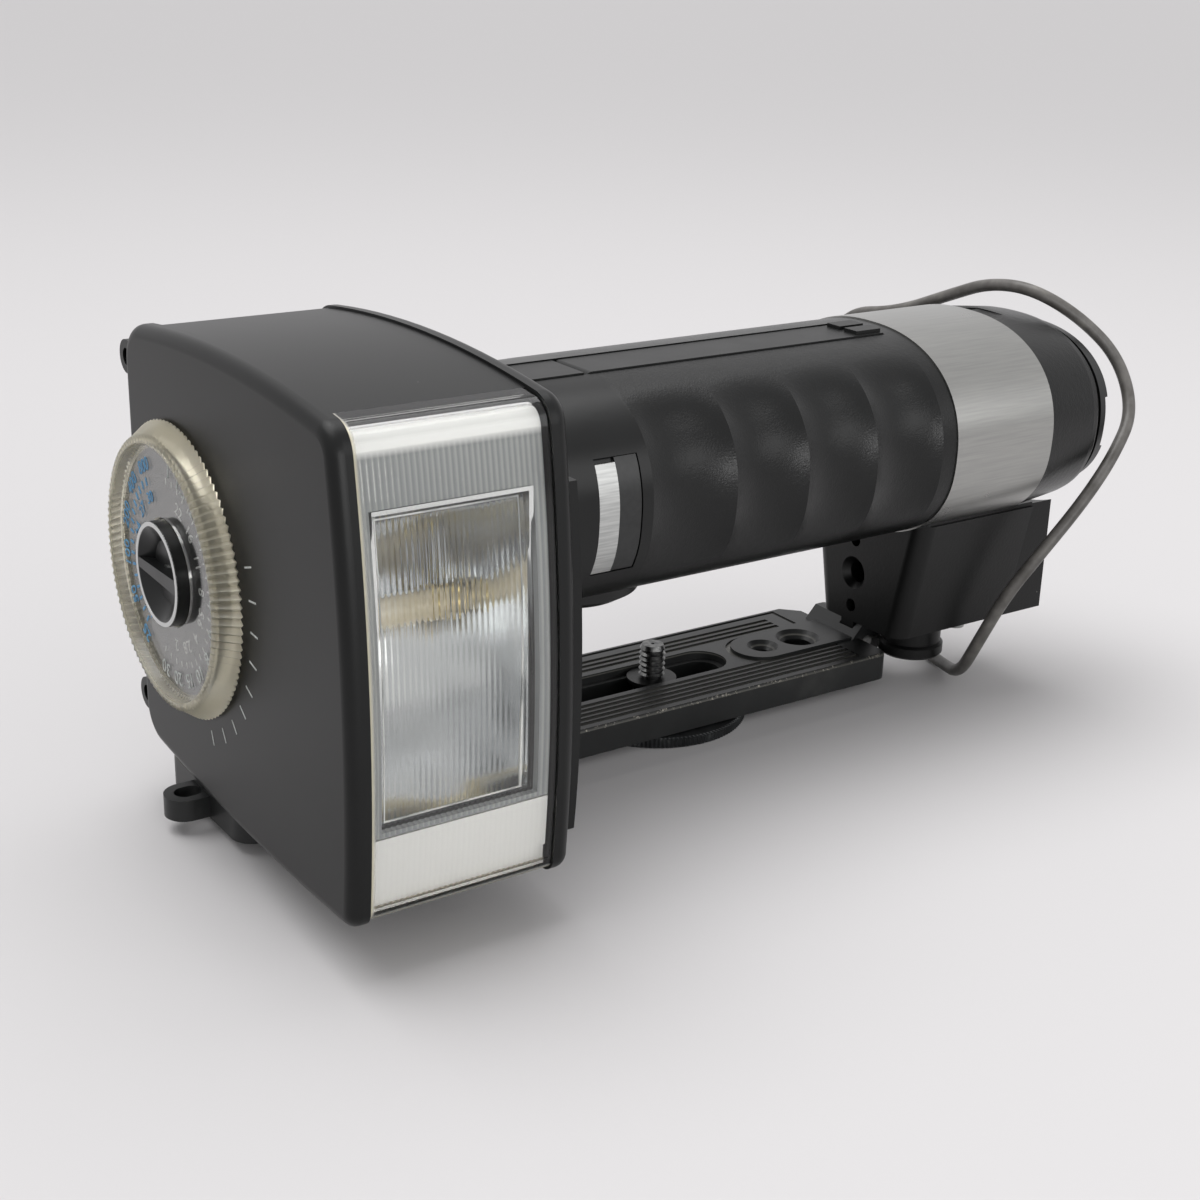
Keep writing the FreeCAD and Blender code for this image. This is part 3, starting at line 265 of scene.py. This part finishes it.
# Fill light window. The strip under the main window is moulded in opal acrylic, so it
# shows plain white with only a trace of the flutes. An apron of the same stuff carries
# it down to the lower edge.
opal, shader, place = finish("opal_acrylic", "#fbfbf9", {"Roughness": 0.28})
spread, crest = flutes(opal, place)
relief = node(opal, "Bump", {"Strength": 0.15, "Distance": 0.0001}, {"Height": crest})
join(opal, shader, Normal=relief)
dress(opal, "lower_diffuser")

belly_y = -51.4
belly_z = 56.5
half_height = 44.7
back_at_top = 4.9
back_at_foot = 1.2


def nose_y(z, inset):
    """How far forward the bulged front reaches at a height, less an inset, in mm."""
    share = (z - belly_z) / half_height
    return belly_y + inset + (back_at_top if share > 0 else back_at_foot) * share * share


def select_only(piece):
    bpy.ops.object.select_all(action="DESELECT")
    piece.select_set(True)
    bpy.context.view_layer.objects.active = piece


def settle(piece, mat):
    """Applies the object's place, so that it sits in the mesh, and gives it a finish."""
    select_only(piece)
    bpy.ops.object.transform_apply(location=True, rotation=True, scale=True)
    piece.data.materials.clear()
    piece.data.materials.append(mat)


def front_sheet(name, x0, x1, z0, z1, inset, thick, mat):
    """A sheet that follows the bulge of the front, a set depth behind its skin."""
    bpy.ops.object.select_all(action="DESELECT")
    bpy.ops.mesh.primitive_grid_add(x_subdivisions=2, y_subdivisions=24, size=1)
    piece = bpy.context.object
    piece.name = name
    for vertex in piece.data.vertices:
        z = z0 + (vertex.co.y + 0.5) * (z1 - z0)
        x = x0 + (vertex.co.x + 0.5) * (x1 - x0)
        vertex.co = at(x, nose_y(z, inset), z)
    solid = piece.modifiers.new("wall", "SOLIDIFY")
    solid.thickness = thick / 1000
    solid.offset = 0
    select_only(piece)
    bpy.ops.object.modifier_apply(modifier="wall")
    settle(piece, mat)
    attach(piece, "head")


front_sheet("opal_apron", 4.6, 40.8, 14.2, 18.6, 4.2, 0.8, opal)


# Reflector. Bright anodised aluminium sheet bent into a trough, with fine rolling lines
# along its length, drawn about 0.7 mm apart so that they show, and shallow buckles that
# break up what it mirrors.
bright_sheet, shader, place = finish("bright_anodised_aluminium", "#e3e5e6",
                                     {"Metallic": 1.0, "Roughness": 0.16})
stretch = node(bright_sheet, "Mapping", {"Scale": (0.03, 1.0, 1.0)}, {"Vector": place})
rolled = node(bright_sheet, "TexNoise", {"Scale": 1500.0, "Detail": 3.0},
              {"Vector": stretch})
lines = node(bright_sheet, "Bump", {"Strength": 0.1, "Distance": 0.0001},
             {"Height": rolled})
buckled = node(bright_sheet, "TexNoise", {"Scale": 42.0, "Detail": 1.0}, {"Vector": place})
relief = node(bright_sheet, "Bump", {"Strength": 0.5, "Distance": 0.006},
              {"Height": buckled, "Normal": lines})
join(bright_sheet, shader, Normal=relief)
dress(bright_sheet, "reflector")


# Line in the window. The lens has a fine raised bead on its inner face, set in from the
# edge of the window. Thin sheets stand for it, coloured light grey to near white as a painted
# highlight, the thin bright rectangle the bead shows.
bead_painted_highlight, shader, place = finish("bead_painted_highlight", "#e9ebea", {"Roughness": 0.2})
# Painted highlight: the noise mixes light grey and near white along the bead strips.
painted_glint = node(bead_painted_highlight, "TexNoise", {"Scale": 120.0, "Detail": 2.0}, {"Vector": place})
tint = node(bead_painted_highlight, "ValToRGB", links={"Fac": painted_glint},
            stops=[(0.35, "#9fa2a2"), (0.6, "#f2f3f1")])
join(bead_painted_highlight, shader, Base_Color=tint)
for name, x0, x1, z0, z1 in (("bead_left", 7.3, 7.6, 31.4, 85.5),
                             ("bead_right", 34.7, 35.0, 31.4, 85.5),
                             ("bead_low", 7.3, 35.0, 31.4, 31.7),
                             ("bead_high", 7.3, 35.0, 85.2, 85.5)):
    front_sheet(name, x0, x1, z0, z1, 2.7, 0.2, bead_painted_highlight)


# Flash tube and its clips. The tube is quartz with a cream coating of age, and the clips
# and the three contact tabs are punched from plain brass strip, unevenly tarnished.
tube_quartz, shader, place = finish("cream_quartz", "#e9dfc6", {"Roughness": 0.18})
streak = node(tube_quartz, "TexNoise", {"Scale": 160.0, "Detail": 3.0}, {"Vector": place})
tint = node(tube_quartz, "ValToRGB", links={"Fac": streak},
            stops=[(0.35, "#d8caa6"), (0.7, "#f1e9d4")])
join(tube_quartz, shader, Base_Color=tint)
dress(tube_quartz, "flash_tube")
brass_strip, shader, place = finish("rolled_brass", "#c9b06e",
                                    {"Metallic": 1.0, "Roughness": 0.32})
tarnish = node(brass_strip, "TexNoise", {"Scale": 400.0, "Detail": 3.0}, {"Vector": place})
tint = node(brass_strip, "ValToRGB", links={"Fac": tarnish},
            stops=[(0.3, "#a8915a"), (0.7, "#dcc88e")])
join(brass_strip, shader, Base_Color=tint)
dress(brass_strip, "tube_clips", "contact_tabs")


# Dial scale. A thin black disc lies still on the cover under the turning clear ring. The
# silk print, distances and apertures in white and film speeds in blue, lies on its face
# or just before the clear disc, and thins out in places.
scale_black, shader, place = finish(
    "black_printed_disc", "#1b1c1d", {"Roughness": 0.38, "Specular IOR Level": 0.2})
mottle = node(scale_black, "TexNoise", {"Scale": 300.0, "Detail": 4.0}, {"Vector": place})
tint = node(scale_black, "ValToRGB", links={"Fac": mottle},
            stops=[(0.3, "#161718"), (0.7, "#212223")])
join(scale_black, shader, Base_Color=tint)
dress(scale_black, "dial_scale")


def silk_print(name, colour, thin_colour, full_colour):
    mat, shader, place = finish(name, colour, {"Roughness": 0.5})
    thin = node(mat, "TexNoise", {"Scale": 1500.0, "Detail": 2.0}, {"Vector": place})
    tint = node(mat, "ValToRGB", links={"Fac": thin},
                stops=[(0.3, thin_colour), (0.6, full_colour)])
    join(mat, shader, Base_Color=tint)
    return mat


white_print = silk_print("white_silk_print", "#d9dcda", "#b9bcba", "#e2e4e2")
blue_print = silk_print("blue_silk_print", "#5fa6d8", "#4b8fc2", "#6db2e2")
dial_centre = at(0, 18.0, 58.0)
facing_dial = Matrix(((0, 0, -1), (-1, 0, 0), (0, 1, 0))).to_4x4()
cover_x = -0.00002
scale_x = -0.00154
disc_x = -0.00293


def set_on_dial(piece, angle, radius, face_x):
    """Places a word or mark at an angle and a radius, upright seen from the middle."""
    piece.matrix_world = (Matrix.Translation(dial_centre + Vector((face_x, 0, 0)))
                          @ facing_dial @ Matrix.Rotation(-math.radians(angle), 4, "Z")
                          @ Matrix.Translation((0, radius / 1000, 0))
                          @ Matrix.Diagonal((*piece.scale, 1)))


def one_print(name, made, mat):
    """Joins words or marks into one print, which stays with the head."""
    bpy.ops.object.select_all(action="DESELECT")
    for mark in made:
        mark.select_set(True)
    piece = made[0]
    bpy.context.view_layer.objects.active = piece
    bpy.ops.object.join()
    piece.name = name
    settle(piece, mat)
    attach(piece, "head")


def print_ring(name, words, radius, first, step, size, face_x, mat):
    """Words set round the dial."""
    made = []
    for k, word in enumerate(words):
        bpy.ops.object.text_add()
        text = bpy.context.object
        text.data.body = word
        text.data.size = size / 1000
        text.data.align_x = "CENTER"
        text.data.align_y = "CENTER"
        text.data.extrude = 0.00004
        text.data.resolution_u = 3
        set_on_dial(text, first + k * step, radius, face_x)
        select_only(text)
        bpy.ops.object.convert(target="MESH")
        made.append(text)
    one_print(name, made, mat)


print_ring("distance_print", ["1", "1.5", "2", "3", "4", "5", "6", "8", "10", "15", "20", "30"],
           21.0, 8, 16.5, 4.0, disc_x, white_print)
print_ring("aperture_print", ["22", "16", "11", "8", "5.6", "4", "2.8", "2"],
           14.6, 22, 22, 3.4, scale_x, white_print)
print_ring("speed_print", ["25", "50", "100", "200", "400", "800"],
           21.0, 218, 23, 3.8, disc_x, blue_print)
print_ring("speed_step_print", ["15", "18", "21", "24", "27", "30"],
           14.8, 222, 22, 3.2, disc_x, blue_print)


def print_marks(name, radius_in, radius_out, first, step, count, wide, face_x, mat):
    """Short radial bars round the dial."""
    made = []
    for k in range(count):
        bpy.ops.mesh.primitive_cube_add(size=1)
        bar = bpy.context.object
        bar.dimensions = (wide / 1000, (radius_out - radius_in) / 1000, 0.00008)
        set_on_dial(bar, first + k * step, (radius_in + radius_out) / 2, face_x)
        made.append(bar)
    one_print(name, made, mat)


print_marks("scale_marks", 17.6, 18.8, 0, 8.5, 24, 0.3, scale_x, white_print)
print_marks("speed_marks", 17.2, 18.8, 222, 7.33, 16, 0.5, disc_x, blue_print)
print_marks("cover_marks", 31.4, 34.4, 72, 11, 9, 0.35, cover_x, white_print)


# Dial ring. Clear acrylic, yellowed and milky in the rim, with a knurl of teeth moulded
# round its cone and a thin window disc over the scale. It turns round the middle knob.
def turned(name, outline, steps):
    """Spins a closed outline of (along X, radius) pairs, in mm, round the X axis."""
    near = 0.000001
    bpy.ops.object.select_all(action="DESELECT")
    bpy.ops.mesh.primitive_plane_add(size=0.0001)
    piece = bpy.context.object
    piece.name = name
    bpy.ops.object.mode_set(mode="EDIT")
    bpy.ops.mesh.merge(type="CENTER")
    spots = [Vector((x / 1000, 0, r / 1000)) for x, r in outline]
    bpy.ops.transform.translate(value=spots[0])
    for here, there in zip(spots, spots[1:] + spots[:1]):
        bpy.ops.mesh.extrude_vertices_move(TRANSFORM_OT_translate={"value": there - here})
    bpy.ops.mesh.select_all(action="SELECT")
    bpy.ops.mesh.remove_doubles(threshold=near)
    bpy.ops.mesh.spin(steps=steps, angle=2 * math.pi, center=(0, 0, 0), axis=(1, 0, 0))
    bpy.ops.mesh.select_all(action="SELECT")
    bpy.ops.mesh.remove_doubles(threshold=near)
    bpy.ops.mesh.normals_make_consistent(inside=False)
    bpy.ops.object.mode_set(mode="OBJECT")
    return piece


def knurl(piece, teeth, from_radius, share):
    """Draws in every second column of the outer skin, which leaves sharp teeth."""
    select_only(piece)
    for vertex in piece.data.vertices:
        angle = math.atan2(vertex.co.z, vertex.co.y)
        column = round(angle / math.pi * teeth)
        radius = math.hypot(vertex.co.y, vertex.co.z) * 1000
        vertex.select = radius > from_radius and column % 2 == 1
    for edge in piece.data.edges:
        edge.select = False
    for face in piece.data.polygons:
        face.select = False
    bpy.ops.object.mode_set(mode="EDIT")
    bpy.ops.mesh.select_mode(type="VERT")
    bpy.ops.transform.resize(value=(1, share, share), center_override=(0, 0, 0))
    bpy.ops.object.mode_set(mode="OBJECT")


aged_clear, shader, place = finish(
    "aged_clear_acrylic", "#f8f5ea",
    {"Roughness": 0.1, "IOR": 1.49, "Transmission Weight": 1.0, "Specular IOR Level": 0.15})
centred = node(aged_clear, "Mapping", {"Location": tuple(-v for v in dial_centre)},
               {"Vector": place})
flat = node(aged_clear, "VectorMath", {"operation": "MULTIPLY", 1: (0, 1, 1)}, {0: centred})
radius = node(aged_clear, "VectorMath", {"operation": "LENGTH"}, {0: flat})
rim_part = node(aged_clear, "MapRange", {"From Min": 0.0238, "From Max": 0.0252},
                {"Value": radius.outputs["Value"]})
tint = node(aged_clear, "ValToRGB", links={"Fac": rim_part},
            stops=[(0.0, "#fbfbf8"), (1.0, "#e9e3cf")])
frosted = node(aged_clear, "MapRange", {"To Min": 0.05, "To Max": 0.3}, {"Value": rim_part})
milky = node(aged_clear, "MapRange", {"To Min": 1.0, "To Max": 0.72}, {"Value": rim_part})
join(aged_clear, shader, Base_Color=tint, Roughness=frosted, Transmission_Weight=milky)
ring_teeth = 108
ring = turned("dial_ring_moulded", [
    (-0.3, 24.6), (-0.3, 28.9), (-0.7, 29.3), (-3.9, 27.0), (-4.5, 26.8), (-4.9, 26.2),
    (-4.9, 25.2), (-2.9, 24.2), (-2.8, 10.7), (-1.8, 10.7), (-1.8, 24.3)], 2 * ring_teeth)
knurl(ring, ring_teeth, 26.0, 0.962)
ring.matrix_world = Matrix.Translation(dial_centre)
settle(ring, aged_clear)
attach(ring, "dial")
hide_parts("dial_ring")


# Dial knob. A dished knob with a raised finger ridge, moulded in black ABS and polished
# by fingers, and a thin nickel plated ring pressed round the edge of its recess.
knob_abs, shader, place = finish("black_abs_polished", "#0c0d0d",
                                 {"Roughness": 0.28, "Specular IOR Level": 0.35})
smear = node(knob_abs, "TexNoise", {"Scale": 120.0, "Detail": 5.0}, {"Vector": place})
gloss = node(knob_abs, "MapRange", {"To Min": 0.22, "To Max": 0.42}, {"Value": smear})
tint = node(knob_abs, "ValToRGB", links={"Fac": smear},
            stops=[(0.3, "#0b0c0c"), (0.7, "#151616")])
join(knob_abs, shader, Roughness=gloss, Base_Color=tint)
dress(knob_abs, "dial_knob", "accessory_cap", "back_panel")
plated, shader, place = finish("nickel_plate", "#c8c9c8", {"Metallic": 1.0, "Roughness": 0.2})
rub = node(plated, "TexNoise", {"Scale": 900.0, "Detail": 3.0}, {"Vector": place})
worn = node(plated, "MapRange", {"To Min": 0.14, "To Max": 0.34}, {"Value": rub})
join(plated, shader, Roughness=worn)
knob_rim = turned("dial_knob_rim", [
    (-5.15, 10.3), (-5.3, 10.1), (-5.3, 9.4), (-5.0, 9.15), (-4.6, 9.1), (-4.6, 9.3),
    (-5.05, 9.5), (-5.05, 10.3)], 96)
knob_rim.matrix_world = Matrix.Translation(dial_centre)
settle(knob_rim, plated)
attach(knob_rim, "pointer")


# Turned steel. Axles, pins and the studs of the bracket are turned from bar and left
# bare, so they are a satin grey with lighter patches where they rub.
turned_steel, shader, place = finish("turned_steel", "#9a9b9a",
                                     {"Metallic": 1.0, "Roughness": 0.3})
rub = node(turned_steel, "TexNoise", {"Scale": 700.0, "Detail": 4.0}, {"Vector": place})
tint = node(turned_steel, "ValToRGB", links={"Fac": rub},
            stops=[(0.3, "#7f807f"), (0.7, "#b4b5b3")])
join(turned_steel, shader, Base_Color=tint)
dress(turned_steel, "dial_axle", "tilt_pin", "battery_cover_pin", "knob_stud",
      "release_button", "fold_axle", "sync_plug_tip")


# Controls on the back of the head. The slide and the push button are moulded in grey ABS
# with a fine matt texture, and the indicator lamp has a red polystyrene lens.
grey_abs, shader, place = finish("grey_abs", "#3b3d3e", {"Roughness": 0.45})
spark = node(grey_abs, "TexNoise", {"Scale": 3000.0, "Detail": 2.0}, {"Vector": place})
relief = node(grey_abs, "Bump", {"Strength": 0.15, "Distance": 0.0001}, {"Height": spark})
join(grey_abs, shader, Normal=relief)
dress(grey_abs, "power_switch", "test_button")
red_lens, shader, place = finish("red_polystyrene_lens", "#a5271a",
                                 {"Roughness": 0.12, "Transmission Weight": 0.35})
depth = node(red_lens, "TexNoise", {"Scale": 500.0}, {"Vector": place})
tint = node(red_lens, "ValToRGB", links={"Fac": depth},
            stops=[(0.3, "#8c1b12"), (0.7, "#c23526")])
join(red_lens, shader, Base_Color=tint)
dress(red_lens, "ready_lamp")


# Handle. The grip is moulded in black ABS with a fine leather grain, cells about 0.6 mm
# wide, which stops short of the smooth band that holds the label.
leather_abs, shader, place = finish(
    "black_abs_leather_grain", "#0b0c0c", {"Roughness": 0.32, "Specular IOR Level": 0.32})
cells = node(leather_abs, "TexVoronoi", {"feature": "DISTANCE_TO_EDGE", "Scale": 1700.0},
             {"Vector": place})
fold = node(leather_abs, "TexNoise", {"Scale": 900.0, "Detail": 3.0}, {"Vector": place})
deep = node(leather_abs, "Math", {"operation": "ADD"},
            {0: cells.outputs["Distance"], 1: fold})
spread = node(leather_abs, "SeparateXYZ", links={"Vector": place})
grain_start = at(81.5, 0, 0)[0]
grained = node(leather_abs, "MapRange",
               {"From Min": grain_start, "From Max": grain_start + 0.001,
                "To Min": 0.05, "To Max": 1.0}, {"Value": spread.outputs["X"]})
height = node(leather_abs, "Math", {"operation": "MULTIPLY"}, {0: deep, 1: grained})
relief = node(leather_abs, "Bump", {"Strength": 0.25, "Distance": 0.0002},
              {"Height": height})
wear = node(leather_abs, "TexNoise", {"Scale": 30.0, "Detail": 5.0}, {"Vector": place})
gloss = node(leather_abs, "MapRange", {"To Min": 0.24, "To Max": 0.36}, {"Value": wear})
tint = node(leather_abs, "ValToRGB", links={"Fac": wear},
            stops=[(0.35, "#080909"), (0.7, "#101111")])
join(leather_abs, shader, Normal=relief, Roughness=gloss, Base_Color=tint)
dress(leather_abs, "grip_body", "butt_cap")


# Top strip and lid. Smooth satin mouldings in black ABS, let into the grained handle.
# Handling has left soft patches in their gloss.
satin_abs, shader, place = finish("black_abs_satin", "#0d0e0e",
                                  {"Roughness": 0.34, "Specular IOR Level": 0.3})
wear = node(satin_abs, "TexNoise", {"Scale": 60.0, "Detail": 5.0}, {"Vector": place})
gloss = node(satin_abs, "MapRange", {"To Min": 0.3, "To Max": 0.5}, {"Value": wear})
tint = node(satin_abs, "ValToRGB", links={"Fac": wear},
            stops=[(0.35, "#0b0c0c"), (0.7, "#141515")])
join(satin_abs, shader, Roughness=gloss, Base_Color=tint)
dress(satin_abs, "spine_front", "battery_cover", "end_plate")


# Label recess and cells. A bare brushed silver plate and a bare dark strip follow the
# curve of the handle side by side. Under the lid lie cells in a printed jacket.
silver_foil, shader, place = finish("satin_silver_foil", "#b9bab9",
                                    {"Metallic": 0.9, "Roughness": 0.42})
stretch = node(silver_foil, "Mapping", {"Scale": (0.05, 1.0, 1.0)}, {"Vector": place})
brush = node(silver_foil, "TexNoise", {"Scale": 2400.0, "Detail": 2.0}, {"Vector": stretch})
tint = node(silver_foil, "ValToRGB", links={"Fac": brush},
            stops=[(0.3, "#a9aaa9"), (0.7, "#c4c5c3")])
join(silver_foil, shader, Base_Color=tint)
dress(silver_foil, "badge_plate")
dark_foil, shader, place = finish("dark_satin_foil", "#1c1d1e", {"Roughness": 0.33})
fleck = node(dark_foil, "TexNoise", {"Scale": 800.0, "Detail": 2.0}, {"Vector": place})
tint = node(dark_foil, "ValToRGB", links={"Fac": fleck},
            stops=[(0.3, "#171818"), (0.7, "#222323")])
join(dark_foil, shader, Base_Color=tint)
dress(dark_foil, "badge_strip")
cell_jacket, shader, place = finish("printed_cell_jacket", "#5b6470",
                                    {"Metallic": 0.3, "Roughness": 0.35})
band = node(cell_jacket, "TexNoise", {"Scale": 100.0}, {"Vector": place})
tint = node(cell_jacket, "ValToRGB", links={"Fac": band},
            stops=[(0.4, "#525b66"), (0.6, "#68717c")])
join(cell_jacket, shader, Base_Color=tint)
dress(cell_jacket, "battery_pack")


# Metal band. Stainless sheet rolled round the end of the handle and brushed along it.
# The brush lines are drawn about 0.45 mm apart, coarser than real ones, so that they
# show, and cloudy patches in the gloss make its streaks soft.
brushed_steel, shader, place = finish("brushed_stainless", "#a9a9a7",
                                      {"Metallic": 1.0, "Roughness": 0.3})
stretch = node(brushed_steel, "Mapping", {"Scale": (0.04, 1.0, 1.0)}, {"Vector": place})
brush = node(brushed_steel, "TexNoise", {"Scale": 2200.0, "Detail": 3.0},
             {"Vector": stretch})
cloud = node(brushed_steel, "TexNoise", {"Scale": 45.0, "Detail": 4.0}, {"Vector": place})
gloss = node(brushed_steel, "MapRange", {"To Min": 0.24, "To Max": 0.34}, {"Value": cloud})
tint = node(brushed_steel, "ValToRGB", links={"Fac": brush},
            stops=[(0.3, "#9b9b99"), (0.7, "#a5a5a2")])
join(brushed_steel, shader, Roughness=gloss, Base_Color=tint)
dress(brushed_steel, "ring_band")


# Bracket block and clamp knob. They are die cast and sprayed satin black, which leaves a
# slightly rough skin with a little dust in it. The bush in the slot has the same spray.
cast_black, shader, place = finish("sprayed_die_casting", "#0a0b0b",
                                   {"Roughness": 0.36, "Specular IOR Level": 0.27})
peel = node(cast_black, "TexNoise", {"Scale": 1400.0, "Detail": 3.0}, {"Vector": place})
relief = node(cast_black, "Bump", {"Strength": 0.18, "Distance": 0.00015}, {"Height": peel})
dust = node(cast_black, "TexNoise", {"Scale": 60.0, "Detail": 6.0}, {"Vector": place})
tint = node(cast_black, "ValToRGB", links={"Fac": dust},
            stops=[(0.35, "#080808"), (0.6, "#0c0d0d"), (0.8, "#151514")])
join(cast_black, shader, Base_Color=dusted(cast_black, place, tint, 0.2), Normal=relief)
dress(cast_black, "bracket_block", "fold_lug", "clamp_knob", "slide_bush")


# Camera bar. A milled steel bar sprayed black, rubbed grey on its ribbed top, with lint
# in the groove, and chipped to bare metal along the near top edge.
worn_black, shader, place = finish("worn_black_paint", "#222323",
                                   {"Roughness": 0.4, "Specular IOR Level": 0.4})
spread = node(worn_black, "SeparateXYZ", links={"Vector": place})
near_side = node(worn_black, "MapRange",
                 {"From Min": bar_low[1] + 0.0009, "From Max": bar_low[1] + 0.0003},
                 {"Value": spread.outputs["Y"]})
high_up = node(worn_black, "MapRange", {"From Min": 0.0088, "From Max": 0.0092},
               {"Value": spread.outputs["Z"]})
edge = node(worn_black, "Math", {"operation": "MULTIPLY"}, {0: near_side, 1: high_up})
chips = node(worn_black, "TexNoise", {"Scale": 1150.0, "Detail": 5.0, "Roughness": 0.75},
             {"Vector": place})
chip_mask = node(worn_black, "MapRange", {"From Min": 0.57, "From Max": 0.63},
                 {"Value": chips})
bare = node(worn_black, "Math", {"operation": "MULTIPLY"}, {0: edge, 1: chip_mask})
rubbed = node(worn_black, "TexNoise", {"Scale": 35.0, "Detail": 6.0, "Roughness": 0.65},
              {"Vector": place})
paint = node(worn_black, "ValToRGB", links={"Fac": rubbed},
             stops=[(0.3, "#161717"), (0.55, "#222323"), (0.75, "#383837")])
in_groove = node(worn_black, "MapRange", {"From Min": 0.00945, "From Max": 0.00915},
                 {"Value": spread.outputs["Z"]})
on_top = node(worn_black, "MapRange", {"From Min": 0.00895, "From Max": 0.00905},
              {"Value": spread.outputs["Z"]})
lint = node(worn_black, "Math", {"operation": "MULTIPLY"}, {0: in_groove, 1: on_top})
dusty = node(worn_black, "MixRGB", {"Color2": hex_rgb("#5b5a56")},
             {"Fac": lint, "Color1": paint})
colour = node(worn_black, "MixRGB", {"Color2": hex_rgb("#b9b4a9")},
              {"Fac": bare, "Color1": dusty})
join(worn_black, shader, Base_Color=colour, Metallic=bare)
dress(worn_black, "camera_bar", "bar_end")


# Camera screw. A steel quarter-inch stud with its thread, turned and blued, fixed in a
# flat black wheel that is knurled all round and worn bright on the edge.
pitch = 1.27
crest_radius = 3.12
root_radius = 2.62
thread = [(2.6, 0.4), (2.6, 2.25), (9.3, 2.25), (9.3, 2.7)]
along = 9.6
while along < 15.8:
    thread += [(along, crest_radius), (along + pitch * 0.42, root_radius),
               (along + pitch * 0.58, root_radius)]
    along += pitch
thread += [(along, 3.0), (17.0, 2.5), (17.0, 0.4)]
stud = turned("camera_screw_threaded", thread, 40)
upright = Matrix(((0, 0, -1), (0, 1, 0), (1, 0, 0))).to_4x4()
on_bar = Matrix.Translation(at(117.4, 23.9, 0)) @ upright
stud.matrix_world = on_bar
blued_steel, shader, place = finish("blued_screw_steel", "#5d5e5f",
                                    {"Metallic": 1.0, "Roughness": 0.3})
rub = node(blued_steel, "TexNoise", {"Scale": 700.0, "Detail": 4.0}, {"Vector": place})
tint = node(blued_steel, "ValToRGB", links={"Fac": rub},
            stops=[(0.35, "#4b4c4d"), (0.75, "#8a8a88")])
join(blued_steel, shader, Base_Color=tint)
settle(stud, blued_steel)
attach(stud, "screw")
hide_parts("camera_screw")

worn_wheel, shader, place = finish("black_zinc_knurled", "#26282a",
                                   {"Metallic": 0.4, "Roughness": 0.36})
rub = node(worn_wheel, "TexNoise", {"Scale": 260.0, "Detail": 5.0}, {"Vector": place})
tint = node(worn_wheel, "ValToRGB", links={"Fac": rub},
            stops=[(0.35, "#1b1c1d"), (0.6, "#2c2e2f"), (0.78, "#5f605f")])
join(worn_wheel, shader, Base_Color=tint)
wheel_teeth = 144
wheel = turned("screw_wheel_knurled", [
    (0.0, 0.5), (0.0, 21.9), (0.35, 22.5), (2.25, 22.5), (2.6, 21.9), (2.6, 0.5)],
    2 * wheel_teeth)
knurl(wheel, wheel_teeth, 22.2, 0.985)
wheel.matrix_world = on_bar
settle(wheel, worn_wheel)
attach(wheel, "screw")
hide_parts("screw_wheel")


# Table and studio. A plain pale floor runs out of sight under a pale sky. Eye, metal and
# glass see both as pale, and matt surfaces get a little less light from below. Broad soft
# light comes from high above, with three soft boxes, of which one lights the lens.
def in_view(owner):
    """1 for a ray to the eye, to metal or through glass, and 0 for all other light."""
    rays = node(owner, "LightPath")
    mirrored = node(owner, "Math", {"operation": "MAXIMUM"},
                    {0: rays.outputs["Is Glossy Ray"], 1: rays.outputs["Is Transmission Ray"]})
    return node(owner, "Math", {"operation": "MAXIMUM"},
                {0: rays.outputs["Is Camera Ray"], 1: mirrored})


pale, shader, place = finish("pale_paper", "#d2d0d1",
                             {"Roughness": 0.9, "Specular IOR Level": 0.05})
bpy.ops.mesh.primitive_plane_add(size=60.0, location=(0, 0, 0))
floor = bpy.context.object
floor.name = "floor"
floor.data.materials.append(pale)
tone = node(pale, "MixRGB", {"Color1": hex_rgb("#6a6e6f"), "Color2": hex_rgb("#d2d0d1")},
            {"Fac": in_view(pale)})
join(pale, shader, Base_Color=tone)


def soft_box(name, place, size, power, target):
    """A rectangular lamp that faces a point of the object."""
    lamp = bpy.data.lights.new(name, "AREA")
    lamp.shape = "RECTANGLE"
    lamp.size, lamp.size_y = size
    lamp.energy = power
    box = bpy.data.objects.new(name, lamp)
    bpy.context.scene.collection.objects.link(box)
    aim = (Vector(target) - Vector(place)).to_track_quat("-Z", "Y")
    box.matrix_world = Matrix.Translation(place) @ aim.to_matrix().to_4x4()


overhead = bpy.data.lights.new("broad_lamp", "SUN")
overhead.energy = 1.5
overhead.angle = math.radians(50)
broad_lamp = bpy.data.objects.new("broad_lamp", overhead)
bpy.context.scene.collection.objects.link(broad_lamp)
broad_lamp.rotation_euler = (math.radians(-12), math.radians(-14), 0)
soft_box("top_box", (0.1, 0.25, 0.9), size=(0.8, 0.6), power=2.5, target=(0, 0, 0.05))
soft_box("front_box", (0.5, -0.9, 0.5), size=(0.6, 0.6), power=1.6, target=(0, 0, 0.05))
soft_box("lens_box", (-0.16, -0.75, 0.16), size=(0.5, 0.16), power=1.5,
         target=(-0.09, -0.05, 0.05))

world = bpy.data.worlds.new("studio_air")
world.use_nodes = True
bpy.context.scene.world = world
air = world.node_tree.nodes["Background"]
air.inputs["Color"].default_value = hex_rgb("#f0f0f0")
air.inputs["Strength"].default_value = 0.58
pale_sky = node(world, "Background", {"Color": hex_rgb("#e8e7e8"), "Strength": 1.0})
sky = node(world, "MixShader", links={"Fac": in_view(world), 1: air, 2: pale_sky})
link(world, sky, world.node_tree.nodes["World Output"].inputs["Surface"])
bpy.context.scene.view_settings.view_transform = "Standard"
